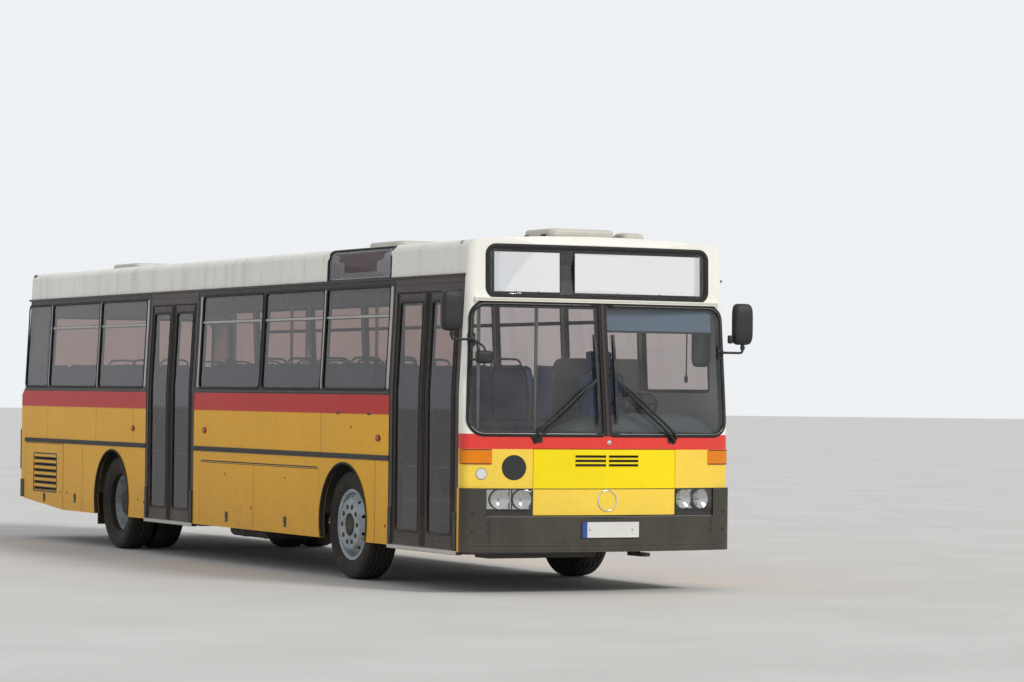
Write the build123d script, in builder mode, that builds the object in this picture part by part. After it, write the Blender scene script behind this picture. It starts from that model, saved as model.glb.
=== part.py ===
from build123d import *
import os
from math import cos, sin, radians

# City bus with two inward-swinging double doors on its kerb side.
# Millimetres. Z is up, the front faces -Y, the kerb side with the doors is -X.
# The origin is on the ground, midway along the length and the width.

# Driving dimensions of the whole vehicle
HALF_LENGTH = 5770      # to the face of each bumper
HALF_WIDTH = 1250       # to the face of the rub rails
BODY_HALF = 1242        # to the painted side
FRONT_AXLE_Y = -3180
REAR_AXLE_Y = 2740
TYRE_RADIUS = 478
WALL = 40               # side walls, roof, front and rear, each one panel thick
SKIRT_Z = 345
SKIRT_END_Z = 445       # the skirt rises to this at the tail
SKIRT_KINK_Y = 4257
FLAP_SEAM = 5           # gap round every flap
FLOOR_Z = 740
FLOOR_THICK = 40

# Heights up the side
RAIL_Z = (1054, 1100)
BELT_Z = 1650
WINDOW_Z = (1665, 2540)
ROOF_Z = 2595           # where the roof panel starts
CROWN_Z = 2945          # top of the roof on the centre line

# Where the side walls end and the front mask and the rear wall start
MASK_Y = -5496
TAIL_Y = 5565

# Plan of the body at each height: the front's crown flattens as it leans back
# (height, half width, front on the centre line, crown, tail)
BODY_SECTIONS = (
    (150, BODY_HALF, -5750, 165, 5762),
    (1300, BODY_HALF, -5750, 165, 5762),
    (1570, BODY_HALF, -5716, 144, 5762),
    (BELT_Z, BODY_HALF, -5705, 138, 5655),
    (2385, BODY_HALF - 36, -5612, 62, 5622),
    (3000, BODY_HALF - 56, -5596, 58, 5596),
)
FRONT_CORNER = 80
TAIL_CORNER = 85
TAIL_CROWN = 30
ROOF_CROWN = 55
ROOF_SHOULDER = 120
ROOF_NOSE = 95

# Door mechanism, seen from above. Each leaf hangs on two arms of a turning pillar.
# Along the wall is measured from the jamb, inward from the painted side.
# The leaf swings between the arms, which turn below and above it.
JAMB_STRIP = 82         # fixed frame beside each leaf
LEAF_START = 94
PILLAR_ALONG = 50
PILLAR_INWARD = 100
PILLAR_RADIUS = 16
CENTRE_GAP = 4          # half of the gap between the two leaves
LEAF_Z = (361, 2468)
LEAF_GLASS_Z = (478, 2395)
LEAF_STILES = (45, 88)  # beside the jamb, and beside the other leaf
ARM_Z = (344, 2473)     # underside of the lower and the upper arm
ARM_THICK = 12
PIN_RADIUS = 8
PIN_PLAY = 0.5
PIN_REACH = 5           # into each arm

# (name, jamb nearer the front, jamb nearer the tail)
DOORS = (("front", -5496, -4130), ("rear", 431, 1758))
DOOR_HEAD_Z = 2477
SILL_Z = 340
SILL_LIP = 14
SILL_DROP = 22

# Windows of each side as (start, end) along Y
KERB_WINDOWS = (
    (-4048, -2692), (-2632, -1268), (-1208, 311),
    (1859, 3201), (3261, 4758), (4818, 5553),
)
DRIVER_WINDOWS = (
    (-5330, -4160), (-4100, -2692), (-2632, -1268), (-1208, 311),
    (371, 1800), (1860, 3201), (3261, 4758), (4818, 5553),
)
WINDOW_CORNER = 45

# Wheels
ARCH_RADIUS = 505
ARCH_Z = 510
TYRE_WIDTH = 272
RIM_RADIUS = 290
WHEEL_FACE = 1178       # outer face of the outer tyres
DUAL_SPACING = 312
KINGPIN_X = 955

# Flaps
SIDE_FLAPS = (("kerb_flap_front", -2642, -1107), ("kerb_flap_rear", -1107, 254))
SIDE_FLAP_TOP = 951
GRILLE_FLAP_TOP = 1048
FRONT_FLAP_HALF = 660
FRONT_FLAP_Z = (647, 1185)
HATCH_HALF = 960
HATCH_Z = (650, 1530)
FLAP_THICK = 28
GRILLE_FLAP_Y = (SKIRT_KINK_Y + 6, 5520)

# Glass and front
GLASS_INSET = 8
GLASS_THICK = 6
WINDSCREEN_X = (32, 1197)
WINDSCREEN_LEAN = 38    # its outer edges lean in by this at the top
WINDSCREEN_Z = (1312, 2372)
WINDSCREEN_CORNER = 120
DIVIDER_CORNER = 25
SIGN_HALF = 1021
SIGN_Z = (2438, 2840)
SIGN_CORNER = 70
SIGN_BACK_Y = -5550     # the box ends in front of the open door leaf
BROW_Z = (2392, 2422)
BROW_OUT = 26
LAMP_X = (668, 1062)
LAMP_Z = (634, 866)
INDICATOR_X = 1010
INDICATOR_Y = -5520
INDICATOR_Z = (1061, 1184)
BUMPER_Z = (345, 634)
BUMPER_OUT = 20
SIDE_SIGN_Y = (-4034, -2692)
SIDE_SIGN_Z = (2615, 2880)
REAR_GLASS_HALF = 985
REAR_GLASS_Z = (1745, 2440)

# Roof hatches as (centre, length, width)
ROOF_HATCHES = ((4900, 760, 700), (-2000, 700, 700), (-5020, 520, 620))
HATCH_LIP = 45
HATCH_RISE = 75

# Rear
REAR_BUMPER_Z = (SKIRT_END_Z, 640)
REAR_LAMP_X = (1010, 1225)
REAR_LAMP_Z = (760, 1180)

# Grille slots in the flaps
GRILLE_Y = (4487, 5223)
GRILLE_Z = (540, 930)
LOUVRES = 6
LOUVRE_SLOT = 34
SLOT_X = (12, 294)
SLOT_Z = (1046, 1140)
SLOT_PITCH = 36
SLOT_HEIGHT = 20

# Doors' arms and brackets
PILLAR_Z = (SILL_Z, 2490)
ARM_WIDTH = 28
BRACKET_THICK = 12
BRACKET_GAP = 5

# Floor, wells and wheel boxes
PLATFORM_Y = 3900
PLATFORM_Z = 1040
WELL_SPARE = 100        # the open leaves stand this far beyond the jambs
WELL_X = -470
WELL_PLATE = 15
STEP_X = -830
STEP_SPARE = 150
STEP_Z = 540
STEP_CORNER = 60
RISER_THICK = 20
BOX_HALF = 565
BOX_TOP = 1045
BOX_BOTTOM = 560
BOX_WALL = 12
BOX_CORNER = 290
BOXES = ((FRONT_AXLE_Y, 560), (REAR_AXLE_Y, 545))

# Underframe
RAIL_X = (350, 430)
RAIL_Y = (-5480, 5480)
RAIL_HEIGHT = (580, FLOOR_Z - FLOOR_THICK)
CROSS_Y = (-5440, -4300, -1900, -600, 700, 1950, 3500)
OUTRIGGERS = ((-1900, -1202, 1202), (-1250, -1202, 1202), (-600, -1202, 1202), (120, -1202, 1202),
              (700, -455, 1202), (-4700, -455, 1202), (3500, -1202, 1202))
PAD_X = 760
PAD_Y = (-1900, 3500)
PAD_Z = 330
PAD_RADIUS = 60
TOW_X = 390
TOW_Y = -5690
TOW_Z = 300
TOW_THICK = 30
TOW_BORE = 20
TOW_WIDTH = 90
ENGINE_X = (-330, 330)
ENGINE_Y = (4000, 5300)
ENGINE_Z = (390, 960)
TANK_X = (-1120, -500)
TANK_Y = (-1150, -250)
TANK_Z = (262, 560)

# Axles
BEAM_Z = (350, 440)
EYE_HALF = 48
EYE_RADIUS = 45
EAR_TOP = 112
KINGPIN_RADIUS = 24
SPINDLE_RADIUS = 36
SPINDLE_END = 1120
REAR_STUB = 1060
REAR_STUB_RADIUS = 62
BEAD_HALF = 100

# Interior
SEAT_PAIR = 880
SEAT_BACK = 1000
SEAT_X = 750
SEAT_BASE = 900         # top of the podiums; the seats' height is counted from it
# rows of seat pairs as (back's y, height that the foot stands on)
KERB_ROWS = ((-2850, 1045), (-2100, 900), (-1350, 900), (-600, 900), (150, 900),
             (2800, 1045), (3640, FLOOR_Z), (4380, PLATFORM_Z))
DRIVER_ROWS = KERB_ROWS + ((900, 900), (1650, 900))
PAIRS = [(-SEAT_X, y, foot) for y, foot in KERB_ROWS] + [(SEAT_X, y, foot) for y, foot in DRIVER_ROWS]
PODIUMS = ((-1202, -310, 331), (310, 1202, 2175))   # (x, x, rear end); both start behind the front wheels
BENCH_Y = 5420
DRIVER_X = 620
DRIVER_Y = -4450
DRIVER_BASE = 820
DASH_X = (-380, 1202)
COLUMN_END_Y = -5010
COLUMN_END_Z = 1470
STEERING_RADIUS = 240
POLE_X = 288
CEILING_RAIL_Z = 2620
RAIL_RUN = (-3900, 5200)
HANGERS = (-3800, -2000, -200, 1600, 3400, 5100)
POLES = ((-288, -3890), (-288, -1740), (-288, 280), (-288, 1950), (288, -3860), (288, -1740), (288, 1250), (288, 3200))
MIRROR_X = (1270, 1455)
MIRROR_Y = (-5645, -5560)
MIRROR_TALL = 360

os.makedirs("parts", exist_ok=True)


def block(x, y, z, mode=Mode.ADD):
    """A box between two values on each axis, in the part being built."""
    with Locations(((x[0] + x[1]) / 2, (y[0] + y[1]) / 2, (z[0] + z[1]) / 2)):
        Box(abs(x[1] - x[0]), abs(y[1] - y[0]), abs(z[1] - z[0]), mode=mode)


def inside(x, y, z):
    """A box as a solid of its own, cut to the inside of the body."""
    with BuildPart() as solid:
        block(x, y, z)
        add(LINING, mode=Mode.INTERSECT)
    return solid.part


def rod(start, end, radius, mode=Mode.ADD):
    """A round bar between two points, in the part being built."""
    run = Vector(*end) - Vector(*start)
    with BuildSketch(Plane(origin=start, z_dir=run)) as end_face:
        Circle(radius)
    extrude(end_face.sketch, amount=run.length, mode=mode)


def save(piece, name):
    piece.label = name
    export_step(piece, "parts/" + name + ".step")


def plan_outline(section, inset):
    """Sketch of the body's outline seen from above, drawn in by inset."""
    z, half, front, crown, tail = section
    corner, stern = front + crown, tail - TAIL_CROWN
    with BuildSketch(Plane.XY.offset(z)) as outline:
        with BuildLine():
            ThreePointArc((-half, corner), (0, front), (half, corner))
            Line((half, corner), (half, stern))
            ThreePointArc((half, stern), (0, tail), (-half, stern))
            Line((-half, stern), (-half, corner))
        make_face()
        fillet(outline.vertices().filter_by(lambda v: v.Y < 0), FRONT_CORNER)
        fillet(outline.vertices().filter_by(lambda v: v.Y > stern - 1), TAIL_CORNER)
        if inset:
            offset(amount=-inset, mode=Mode.REPLACE)
    return outline.sketch


def hull(inset, bottom=SKIRT_Z, tail_bottom=SKIRT_END_Z):
    """The closed body form, drawn in by inset from the painted skin."""
    with BuildPart() as form:
        for section in BODY_SECTIONS:
            add(plan_outline(section, inset))
        loft(ruled=True)
        # cross section: roof crown and shoulders
        with BuildSketch(Plane.XZ):
            with BuildLine():
                shoulder = CROWN_Z - ROOF_CROWN
                half = BODY_HALF - 50
                ThreePointArc((-half, shoulder), (0, CROWN_Z), (half, shoulder))
                Polyline((half, shoulder), (BODY_HALF + 60, ROOF_Z - 800), (BODY_HALF + 60, 0),
                         (-BODY_HALF - 60, 0), (-BODY_HALF - 60, ROOF_Z - 800), (-half, shoulder))
            make_face()
            fillet(vertices().group_by(Axis.Y)[-1], ROOF_SHOULDER)
            if inset:
                offset(amount=-inset, mode=Mode.REPLACE)
        extrude(amount=HALF_LENGTH + 200, both=True, mode=Mode.INTERSECT)
        # side elevation: nose and tail of the roof, and the line of the skirt
        with BuildSketch(Plane.YZ):
            with BuildLine():
                Polyline((-6000, bottom), (-5640, ROOF_Z - 400), (-5578, CROWN_Z + 4), (5592, CROWN_Z + 4),
                         (5650, ROOF_Z - 400), (6000, tail_bottom + 40), (5724, tail_bottom),
                         (SKIRT_KINK_Y, bottom), close=True)
            make_face()
            fillet(vertices().group_by(Axis.Y)[-1], ROOF_NOSE)
            if inset:
                offset(amount=-inset, mode=Mode.REPLACE)
        extrude(amount=HALF_WIDTH + 200, both=True, mode=Mode.INTERSECT)
    return form.part


def cut_side(openings, z, corner, side, mode=Mode.SUBTRACT):
    """Rounded openings through one side wall, in the part being built."""
    with BuildSketch(Plane.YZ.offset(side * 1000)) as outlines:
        for start, end in openings:
            with Locations(((start + end) / 2, (z[0] + z[1]) / 2)):
                RectangleRounded(abs(end - start), z[1] - z[0], corner)
    extrude(outlines.sketch, amount=side * 300, mode=mode)


def window_prism(x, z, outer, inner, y, lean=0):
    """A prism along Y, with its own corner radius on the side nearer the middle."""
    with BuildPart(mode=Mode.PRIVATE) as prism:
        with BuildSketch(Plane.XZ.offset(-y[1])) as opening:
            with BuildLine():
                top = x[1] - lean if x[1] > 0 else x[1] + lean
                Polyline((x[0], z[0]), (x[1], z[0]), (top, z[1]), (x[0], z[1]), close=True)
            make_face()
            if inner == outer:
                fillet(opening.vertices(), outer)
            else:
                fillet(opening.vertices().sort_by(lambda v: abs(v.X))[:2], inner)
                fillet(opening.vertices().sort_by(lambda v: abs(v.X))[-2:], outer)
        extrude(amount=y[1] - y[0])
    return prism.part


def plan_ring(outset, inset, z, x, y, section=BODY_SECTIONS[0]):
    """A stretch of the body's outline, from outset outside to inset inside the skin."""
    with BuildPart(mode=Mode.PRIVATE) as ring:
        for grow, mode in ((outset, Mode.ADD), (-inset, Mode.SUBTRACT)):
            extrude(plan_outline((z[0],) + section[1:], -grow), amount=z[1] - z[0], mode=mode)
        block(x, y, z, mode=Mode.INTERSECT)
    return ring.part


# Body shell and the layers that panels and panes are cut from
SKIN = hull(0)
LINING = hull(WALL, bottom=-400, tail_bottom=-300)
GLASS_OUT = hull(GLASS_INSET, bottom=-400, tail_bottom=-300)
GLASS_IN = hull(GLASS_INSET + GLASS_THICK, bottom=-500, tail_bottom=-400)
SIDE_X = {-1: (-1300, -600), 1: (600, 1300)}
ALL_X = (-1300, 1300)
FRONT_Y = (-6000, MASK_Y)
SIDES = ((-1, "kerb"), (1, "driver"))

with BuildPart() as shell_form:
    add(SKIN)
    add(LINING, mode=Mode.SUBTRACT)
SHELL = shell_form.part


def glazed(opening):
    """The panes that fill an opening, set back from the skin."""
    with BuildPart(mode=Mode.PRIVATE) as panes:
        add(opening)
        add(GLASS_OUT, mode=Mode.INTERSECT)
        add(GLASS_IN, mode=Mode.SUBTRACT)
    return panes.part


SCREENS = [window_prism((side * WINDSCREEN_X[0], side * WINDSCREEN_X[1]), WINDSCREEN_Z,
                        WINDSCREEN_CORNER, DIVIDER_CORNER, (-6000, -5300), WINDSCREEN_LEAN)
           for side, name in SIDES]
SIGN = window_prism((-SIGN_HALF, SIGN_HALF), SIGN_Z, SIGN_CORNER, SIGN_CORNER, (-6000, -5300))
REAR_WINDOW = window_prism((-REAR_GLASS_HALF, REAR_GLASS_HALF), REAR_GLASS_Z, 90, 90, (5450, 6000))

# Lower side panels, with the arches, the doorways and the flaps cut out
for side, name in SIDES:
    with BuildPart() as panels:
        add(SHELL)
        block(SIDE_X[side], (MASK_Y, TAIL_Y), (0, BELT_Z), mode=Mode.INTERSECT)
        for axle_y in (FRONT_AXLE_Y, REAR_AXLE_Y):
            with BuildSketch(Plane.YZ):
                with Locations((axle_y, ARCH_Z)):
                    Circle(ARCH_RADIUS)
                with Locations((axle_y, ARCH_Z - 200)):
                    Rectangle(2 * ARCH_RADIUS - 36, 400)
            extrude(amount=side * 1300, mode=Mode.SUBTRACT)
        if side < 0:
            for door, first, last in DOORS:
                block(SIDE_X[side], (first, last), (0, BELT_Z), mode=Mode.SUBTRACT)
            for flap, first, last in SIDE_FLAPS:
                block(SIDE_X[side], (first, last), (0, SIDE_FLAP_TOP), mode=Mode.SUBTRACT)
            block(SIDE_X[side], GRILLE_FLAP_Y, (0, GRILLE_FLAP_TOP), mode=Mode.SUBTRACT)
    save(panels.part, name + "_side_panels")

# Window frames of each side
for side, name in SIDES:
    with BuildPart() as frames:
        add(SHELL)
        block(SIDE_X[side], (MASK_Y, TAIL_Y), (BELT_Z, ROOF_Z), mode=Mode.INTERSECT)
        cut_side(KERB_WINDOWS if side < 0 else DRIVER_WINDOWS, WINDOW_Z, WINDOW_CORNER, side)
        if side < 0:
            for door, first, last in DOORS:
                block(SIDE_X[side], (first, last), (BELT_Z, ROOF_Z), mode=Mode.SUBTRACT)
    save(frames.part, name + "_window_frames")

# Fixed frames of the doorways: each jamb, head and sill is a member of its own
members = []
for door, first, last in DOORS:
    for y, z in (
        ((first, first + JAMB_STRIP), (SILL_Z + SILL_LIP, ROOF_Z)),
        ((last - JAMB_STRIP, last), (SILL_Z + SILL_LIP, ROOF_Z)),
        ((first + JAMB_STRIP, last - JAMB_STRIP), (DOOR_HEAD_Z, ROOF_Z)),
    ):
        with BuildPart() as member:
            add(SHELL)
            block((-1300, -1100), y, z, mode=Mode.INTERSECT)
        members.append(member.part)
    with BuildPart() as sill:
        block((-HALF_WIDTH, WALL - BODY_HALF), (first, last), (SILL_Z - SILL_DROP, SILL_Z + SILL_LIP))
    members.append(sill.part)
save(Compound(children=members), "door_frames")

# Roof with its hatch openings and the opening of the side sign
with BuildPart() as roof:
    add(SHELL)
    block(ALL_X, (MASK_Y, TAIL_Y), (ROOF_Z, 3000), mode=Mode.INTERSECT)
    for centre, length, width in ROOF_HATCHES:
        with BuildSketch(Plane.XY.offset(2700)):
            with Locations((0, centre)):
                RectangleRounded(width - 2 * HATCH_LIP, length - 2 * HATCH_LIP, 40)
        extrude(amount=400, mode=Mode.SUBTRACT)
    cut_side((SIDE_SIGN_Y,), SIDE_SIGN_Z, 20, -1)
save(roof.part, "roof")

with BuildPart() as roof_hatches:
    for centre, length, width in ROOF_HATCHES:
        with BuildPart(mode=Mode.PRIVATE) as hatch:
            with BuildSketch(Plane.XY.offset(CROWN_Z - 60)):
                with Locations((0, centre)):
                    RectangleRounded(width, length, 70)
            extrude(amount=60 + HATCH_RISE)
            fillet(hatch.faces().sort_by(Axis.Z)[-1].edges(), 32)
        add(hatch.part)
    add(SKIN, mode=Mode.SUBTRACT)
save(roof_hatches.part, "roof_hatches")

# Front mask: corner posts, windscreen surround, header and the waist below the glass
with BuildPart() as front_mask:
    add(SHELL)
    block(ALL_X, FRONT_Y, (LAMP_Z[1], 3000), mode=Mode.INTERSECT)
    for opening in (*SCREENS, SIGN):
        add(opening, mode=Mode.SUBTRACT)
    block((-FRONT_FLAP_HALF - FLAP_SEAM, FRONT_FLAP_HALF + FLAP_SEAM), (-6000, -5400),
          (0, FRONT_FLAP_Z[1] + FLAP_SEAM), mode=Mode.SUBTRACT)
    for side, name in SIDES:
        block((side * INDICATOR_X, side * 1300), (-6000, INDICATOR_Y), INDICATOR_Z,
              mode=Mode.SUBTRACT)
    # brow: a crowned lip between the windscreen and the sign
    add(plan_ring(BROW_OUT, WALL / 2, BROW_Z, (-1140, 1140), FRONT_Y, BODY_SECTIONS[4]))
save(front_mask.part, "front_mask")

# Rear wall, with the window and the engine hatch cut out
with BuildPart() as rear_wall:
    add(SHELL)
    block(ALL_X, (TAIL_Y, 6000), (0, 3000), mode=Mode.INTERSECT)
    add(REAR_WINDOW, mode=Mode.SUBTRACT)
    block((-HATCH_HALF - FLAP_SEAM, HATCH_HALF + FLAP_SEAM), (TAIL_Y, 6000),
          (HATCH_Z[0] - FLAP_SEAM, HATCH_Z[1] + FLAP_SEAM), mode=Mode.SUBTRACT)
    block(ALL_X, (TAIL_Y, 6000), (0, REAR_BUMPER_Z[1]), mode=Mode.SUBTRACT)
save(rear_wall.part, "rear_wall")

# Bumpers: the front one wraps up beside the headlamps
with BuildPart() as bumpers:
    add(plan_ring(BUMPER_OUT, WALL, BUMPER_Z, (-HALF_WIDTH, HALF_WIDTH), FRONT_Y))
    for side, name in SIDES:
        add(plan_ring(BUMPER_OUT, WALL, (BUMPER_Z[1], LAMP_Z[1]),
                      (side * LAMP_X[1], side * HALF_WIDTH), FRONT_Y))
    add(plan_ring(8, WALL, REAR_BUMPER_Z, (-HALF_WIDTH, HALF_WIDTH), (TAIL_Y, 6000)))
save(bumpers.part, "bumpers")

with BuildPart() as headlamps:
    for side, name in SIDES:
        add(plan_ring(6, WALL, LAMP_Z, (side * LAMP_X[0], side * LAMP_X[1]), FRONT_Y))
save(headlamps.part, "headlamps")

with BuildPart() as signal_lamps:
    for side, name in SIDES:
        add(plan_ring(7, WALL, INDICATOR_Z, (side * INDICATOR_X, side * 1300),
                      (-6000, INDICATOR_Y)))
        add(plan_ring(8, 0, REAR_LAMP_Z, (side * REAR_LAMP_X[0], side * REAR_LAMP_X[1]),
                      (TAIL_Y, 6000)))
save(signal_lamps.part, "signal_lamps")

# Rub rails along both sides and round the tail corners
with BuildPart() as rub_rails:
    for x, y in (
        (SIDE_X[-1], (DOORS[0][2], DOORS[1][1])),
        (SIDE_X[-1], (DOORS[1][2], TAIL_Y - 30)),
        (SIDE_X[1], (-5480, TAIL_Y - 30)),
    ):
        add(plan_ring(HALF_WIDTH - BODY_HALF, 0, RAIL_Z, x, y))
save(rub_rails.part, "rub_rails")

# Glass
with BuildPart() as windscreen:
    for opening in SCREENS:
        add(glazed(opening))
save(windscreen.part, "windscreen")

with BuildPart() as saloon_glass:
    with BuildPart(mode=Mode.PRIVATE) as openings:
        cut_side(KERB_WINDOWS, WINDOW_Z, WINDOW_CORNER, -1, mode=Mode.ADD)
        cut_side(DRIVER_WINDOWS, WINDOW_Z, WINDOW_CORNER, 1, mode=Mode.ADD)
        add(REAR_WINDOW)
    add(glazed(openings.part))
save(saloon_glass.part, "saloon_glass")

# Destination signs: the pane and the blind box behind it are one closed unit
with BuildPart() as destination_signs:
    with BuildPart(mode=Mode.PRIVATE) as sign_zone:
        add(SIGN)
        cut_side((SIDE_SIGN_Y,), SIDE_SIGN_Z, 20, -1, mode=Mode.ADD)
    add(GLASS_OUT)
    add(sign_zone.part, mode=Mode.INTERSECT)
    block(ALL_X, (SIGN_BACK_Y, -4200), (2400, 2900), mode=Mode.SUBTRACT)
    block((-1100, 0), SIDE_SIGN_Y, (2400, 2900), mode=Mode.SUBTRACT)
save(destination_signs.part, "destination_signs")

# Doors: a turning pillar with two arms, and a leaf that turns back on the arms' pins
for door, first, last in DOORS:
    leaf_width = (last - first) / 2 - CENTRE_GAP
    arm = (leaf_width - PILLAR_ALONG) / 2
    for jamb, step, place in ((first, 1, "fore"), (last, -1, "aft")):
        name = door + "_door_" + place
        pillar_y = jamb + step * PILLAR_ALONG
        pin_y = pillar_y + step * arm
        pillar_x = PILLAR_INWARD - BODY_HALF
        with BuildPart() as pillar:
            rod((pillar_x, pillar_y, PILLAR_Z[0]), (pillar_x, pillar_y, PILLAR_Z[1]), PILLAR_RADIUS)
            for z in ARM_Z:
                with BuildSketch(Plane.XY.offset(z)):
                    with Locations((pillar_x, (pillar_y + pin_y) / 2)):
                        SlotCenterToCenter(arm, ARM_WIDTH, rotation=90)
                extrude(amount=ARM_THICK)
                rod((pillar_x, pin_y, z - 1), (pillar_x, pin_y, z + ARM_THICK + 1),
                    PIN_RADIUS + PIN_PLAY, mode=Mode.SUBTRACT)
        save(pillar.part, name + "_pillar")

        edges = (jamb + step * LEAF_START, jamb + step * leaf_width)
        glass = (edges[0] + step * LEAF_STILES[0], edges[1] - step * LEAF_STILES[1])
        with BuildPart(mode=Mode.PRIVATE) as opening:
            cut_side((glass,), LEAF_GLASS_Z, 30, -1, mode=Mode.ADD)
        with BuildPart() as leaf:
            add(SHELL)
            block((-1300, -1100), edges, LEAF_Z, mode=Mode.INTERSECT)
            add(opening.part, mode=Mode.SUBTRACT)
            # a bracket at the foot and the head carries the pin that the arm turns on
            for low, pin_z in (
                (ARM_Z[0] + ARM_THICK + BRACKET_GAP, ARM_Z[0] + ARM_THICK - PIN_REACH),
                (ARM_Z[1] - BRACKET_GAP - BRACKET_THICK, ARM_Z[1] + PIN_REACH),
            ):
                block((WALL - 2 - BODY_HALF, pillar_x + 14), (pin_y - 30, pin_y + 30),
                      (low, low + BRACKET_THICK))
                rod((pillar_x, pin_y, min(low, pin_z)), (pillar_x, pin_y, max(low, pin_z)), PIN_RADIUS)
        save(leaf.part, name + "_leaf")
        save(glazed(opening.part), name + "_glass")

# Flaps of the kerb side, hinged along their top edges
for name, first, last in (*SIDE_FLAPS, ("kerb_flap_grille", *GRILLE_FLAP_Y)):
    grille = name.endswith("grille")
    top = GRILLE_FLAP_TOP if grille else SIDE_FLAP_TOP
    with BuildPart() as flap:
        add(SKIN)
        block((-BODY_HALF, FLAP_THICK - BODY_HALF), (first + FLAP_SEAM, last - FLAP_SEAM),
              (0, top - FLAP_SEAM), mode=Mode.INTERSECT)
        if grille:
            for row in range(LOUVRES):
                low = GRILLE_Z[0] + row * (GRILLE_Z[1] - GRILLE_Z[0]) / LOUVRES
                block((-1300, -1000), GRILLE_Y, (low, low + LOUVRE_SLOT), mode=Mode.SUBTRACT)
    save(flap.part, name)

with BuildPart() as front_flap:
    add(plan_ring(0, FLAP_THICK, FRONT_FLAP_Z, (-FRONT_FLAP_HALF, FRONT_FLAP_HALF), FRONT_Y))
    for row in range(3):
        low = SLOT_Z[0] + row * SLOT_PITCH
        for side, name in SIDES:
            block((side * SLOT_X[0], side * SLOT_X[1]), (-6000, -5500), (low, low + SLOT_HEIGHT),
                  mode=Mode.SUBTRACT)
save(front_flap.part, "front_flap")

with BuildPart() as engine_hatch:
    add(plan_ring(0, FLAP_THICK, HATCH_Z, (-HATCH_HALF, HATCH_HALF), (TAIL_Y, 6000)))
    for row in range(5):
        low = 760 + row * 60
        block((-620, 620), (5600, 6000), (low, low + 30), mode=Mode.SUBTRACT)
save(engine_hatch.part, "engine_hatch")

# Floor in sections round the wells and the wheels, with podiums and the raised platform over the engine
FLOOR_BOTTOM = FLOOR_Z - FLOOR_THICK
FLOOR_HALF = BODY_HALF - WALL
FRONT_WELL, REAR_WELL = [(first - WELL_SPARE, last + WELL_SPARE) for door, first, last in DOORS]
FRONT_BOX, REAR_BOX = [(axle_y - BOX_HALF, axle_y + BOX_HALF) for axle_y, depth in BOXES]
sections = [
    inside((left, right), y, (FLOOR_BOTTOM, FLOOR_Z))
    for left, right, y in (
        (-FLOOR_HALF, FLOOR_HALF, (-5700, FRONT_WELL[0])),
        (WELL_X, FLOOR_HALF, FRONT_WELL),
        (-FLOOR_HALF, FLOOR_HALF, (FRONT_WELL[1], FRONT_BOX[0])),
        (-BOXES[0][1], BOXES[0][1], FRONT_BOX),
        (-FLOOR_HALF, FLOOR_HALF, (FRONT_BOX[1], REAR_WELL[0])),
        (WELL_X, FLOOR_HALF, REAR_WELL),
        (-FLOOR_HALF, FLOOR_HALF, (REAR_WELL[1], REAR_BOX[0])),
        (-BOXES[1][1], BOXES[1][1], REAR_BOX),
        (-FLOOR_HALF, FLOOR_HALF, (REAR_BOX[1], PLATFORM_Y - RISER_THICK)),
    )
]
sections.append(inside((-FLOOR_HALF, FLOOR_HALF), (PLATFORM_Y - RISER_THICK, PLATFORM_Y), (FLOOR_BOTTOM, PLATFORM_Z)))
sections.append(inside((-FLOOR_HALF, FLOOR_HALF), (PLATFORM_Y, 5760), (PLATFORM_Z - FLOOR_THICK, PLATFORM_Z)))
for left, right, end in PODIUMS:
    sections.append(inside((left, right), (FRONT_BOX[1], end), (FLOOR_Z, SEAT_BASE)))
save(Compound(children=sections), "floor_deck")

# Step wells: the doors' leaves sweep over the lower tread, beside the upper one
plates = []
for (low, high), (door, first, last) in zip((FRONT_WELL, REAR_WELL), DOORS):
    plates.append(inside((-FLOOR_HALF, WELL_X), (low, high), (SILL_Z - WELL_PLATE, SILL_Z)))
    plates.append(inside((WELL_X, WELL_X + WELL_PLATE), (low, high), (SILL_Z - WELL_PLATE, FLOOR_BOTTOM)))
    for end in (low, high - WELL_PLATE):
        plates.append(inside((-FLOOR_HALF, WELL_X), (end, end + WELL_PLATE), (SILL_Z, FLOOR_BOTTOM)))
    with BuildPart() as tread:
        block((STEP_X, WELL_X), (first + STEP_SPARE, last - STEP_SPARE), (SILL_Z, STEP_Z))
        fillet(tread.edges().filter_by(Axis.Z).group_by(Axis.X)[0], STEP_CORNER)
    plates.append(tread.part)
save(Compound(children=plates), "step_wells")

# Wheel boxes: rounded covers inside the body, closed towards the aisle
with BuildPart() as wheel_boxes:
    for axle_y, depth in BOXES:
        for side, name in SIDES:
            for grow, inner, mode in ((0, depth, Mode.ADD), (-BOX_WALL, depth + BOX_WALL, Mode.SUBTRACT)):
                with BuildSketch(Plane.YZ.offset(side * inner)) as profile:
                    with Locations((axle_y, (BOX_TOP + BOX_BOTTOM) / 2)):
                        Rectangle(2 * (BOX_HALF + grow), BOX_TOP - BOX_BOTTOM + 2 * grow)
                    fillet(profile.vertices().group_by(Axis.Y)[-1], BOX_CORNER + grow)
                    if grow:
                        with Locations((axle_y, BOX_BOTTOM)):
                            Rectangle(2 * (BOX_HALF + grow), 100)
                extrude(amount=side * (1202 - inner), mode=mode)
save(wheel_boxes.part, "wheel_boxes")

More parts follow.
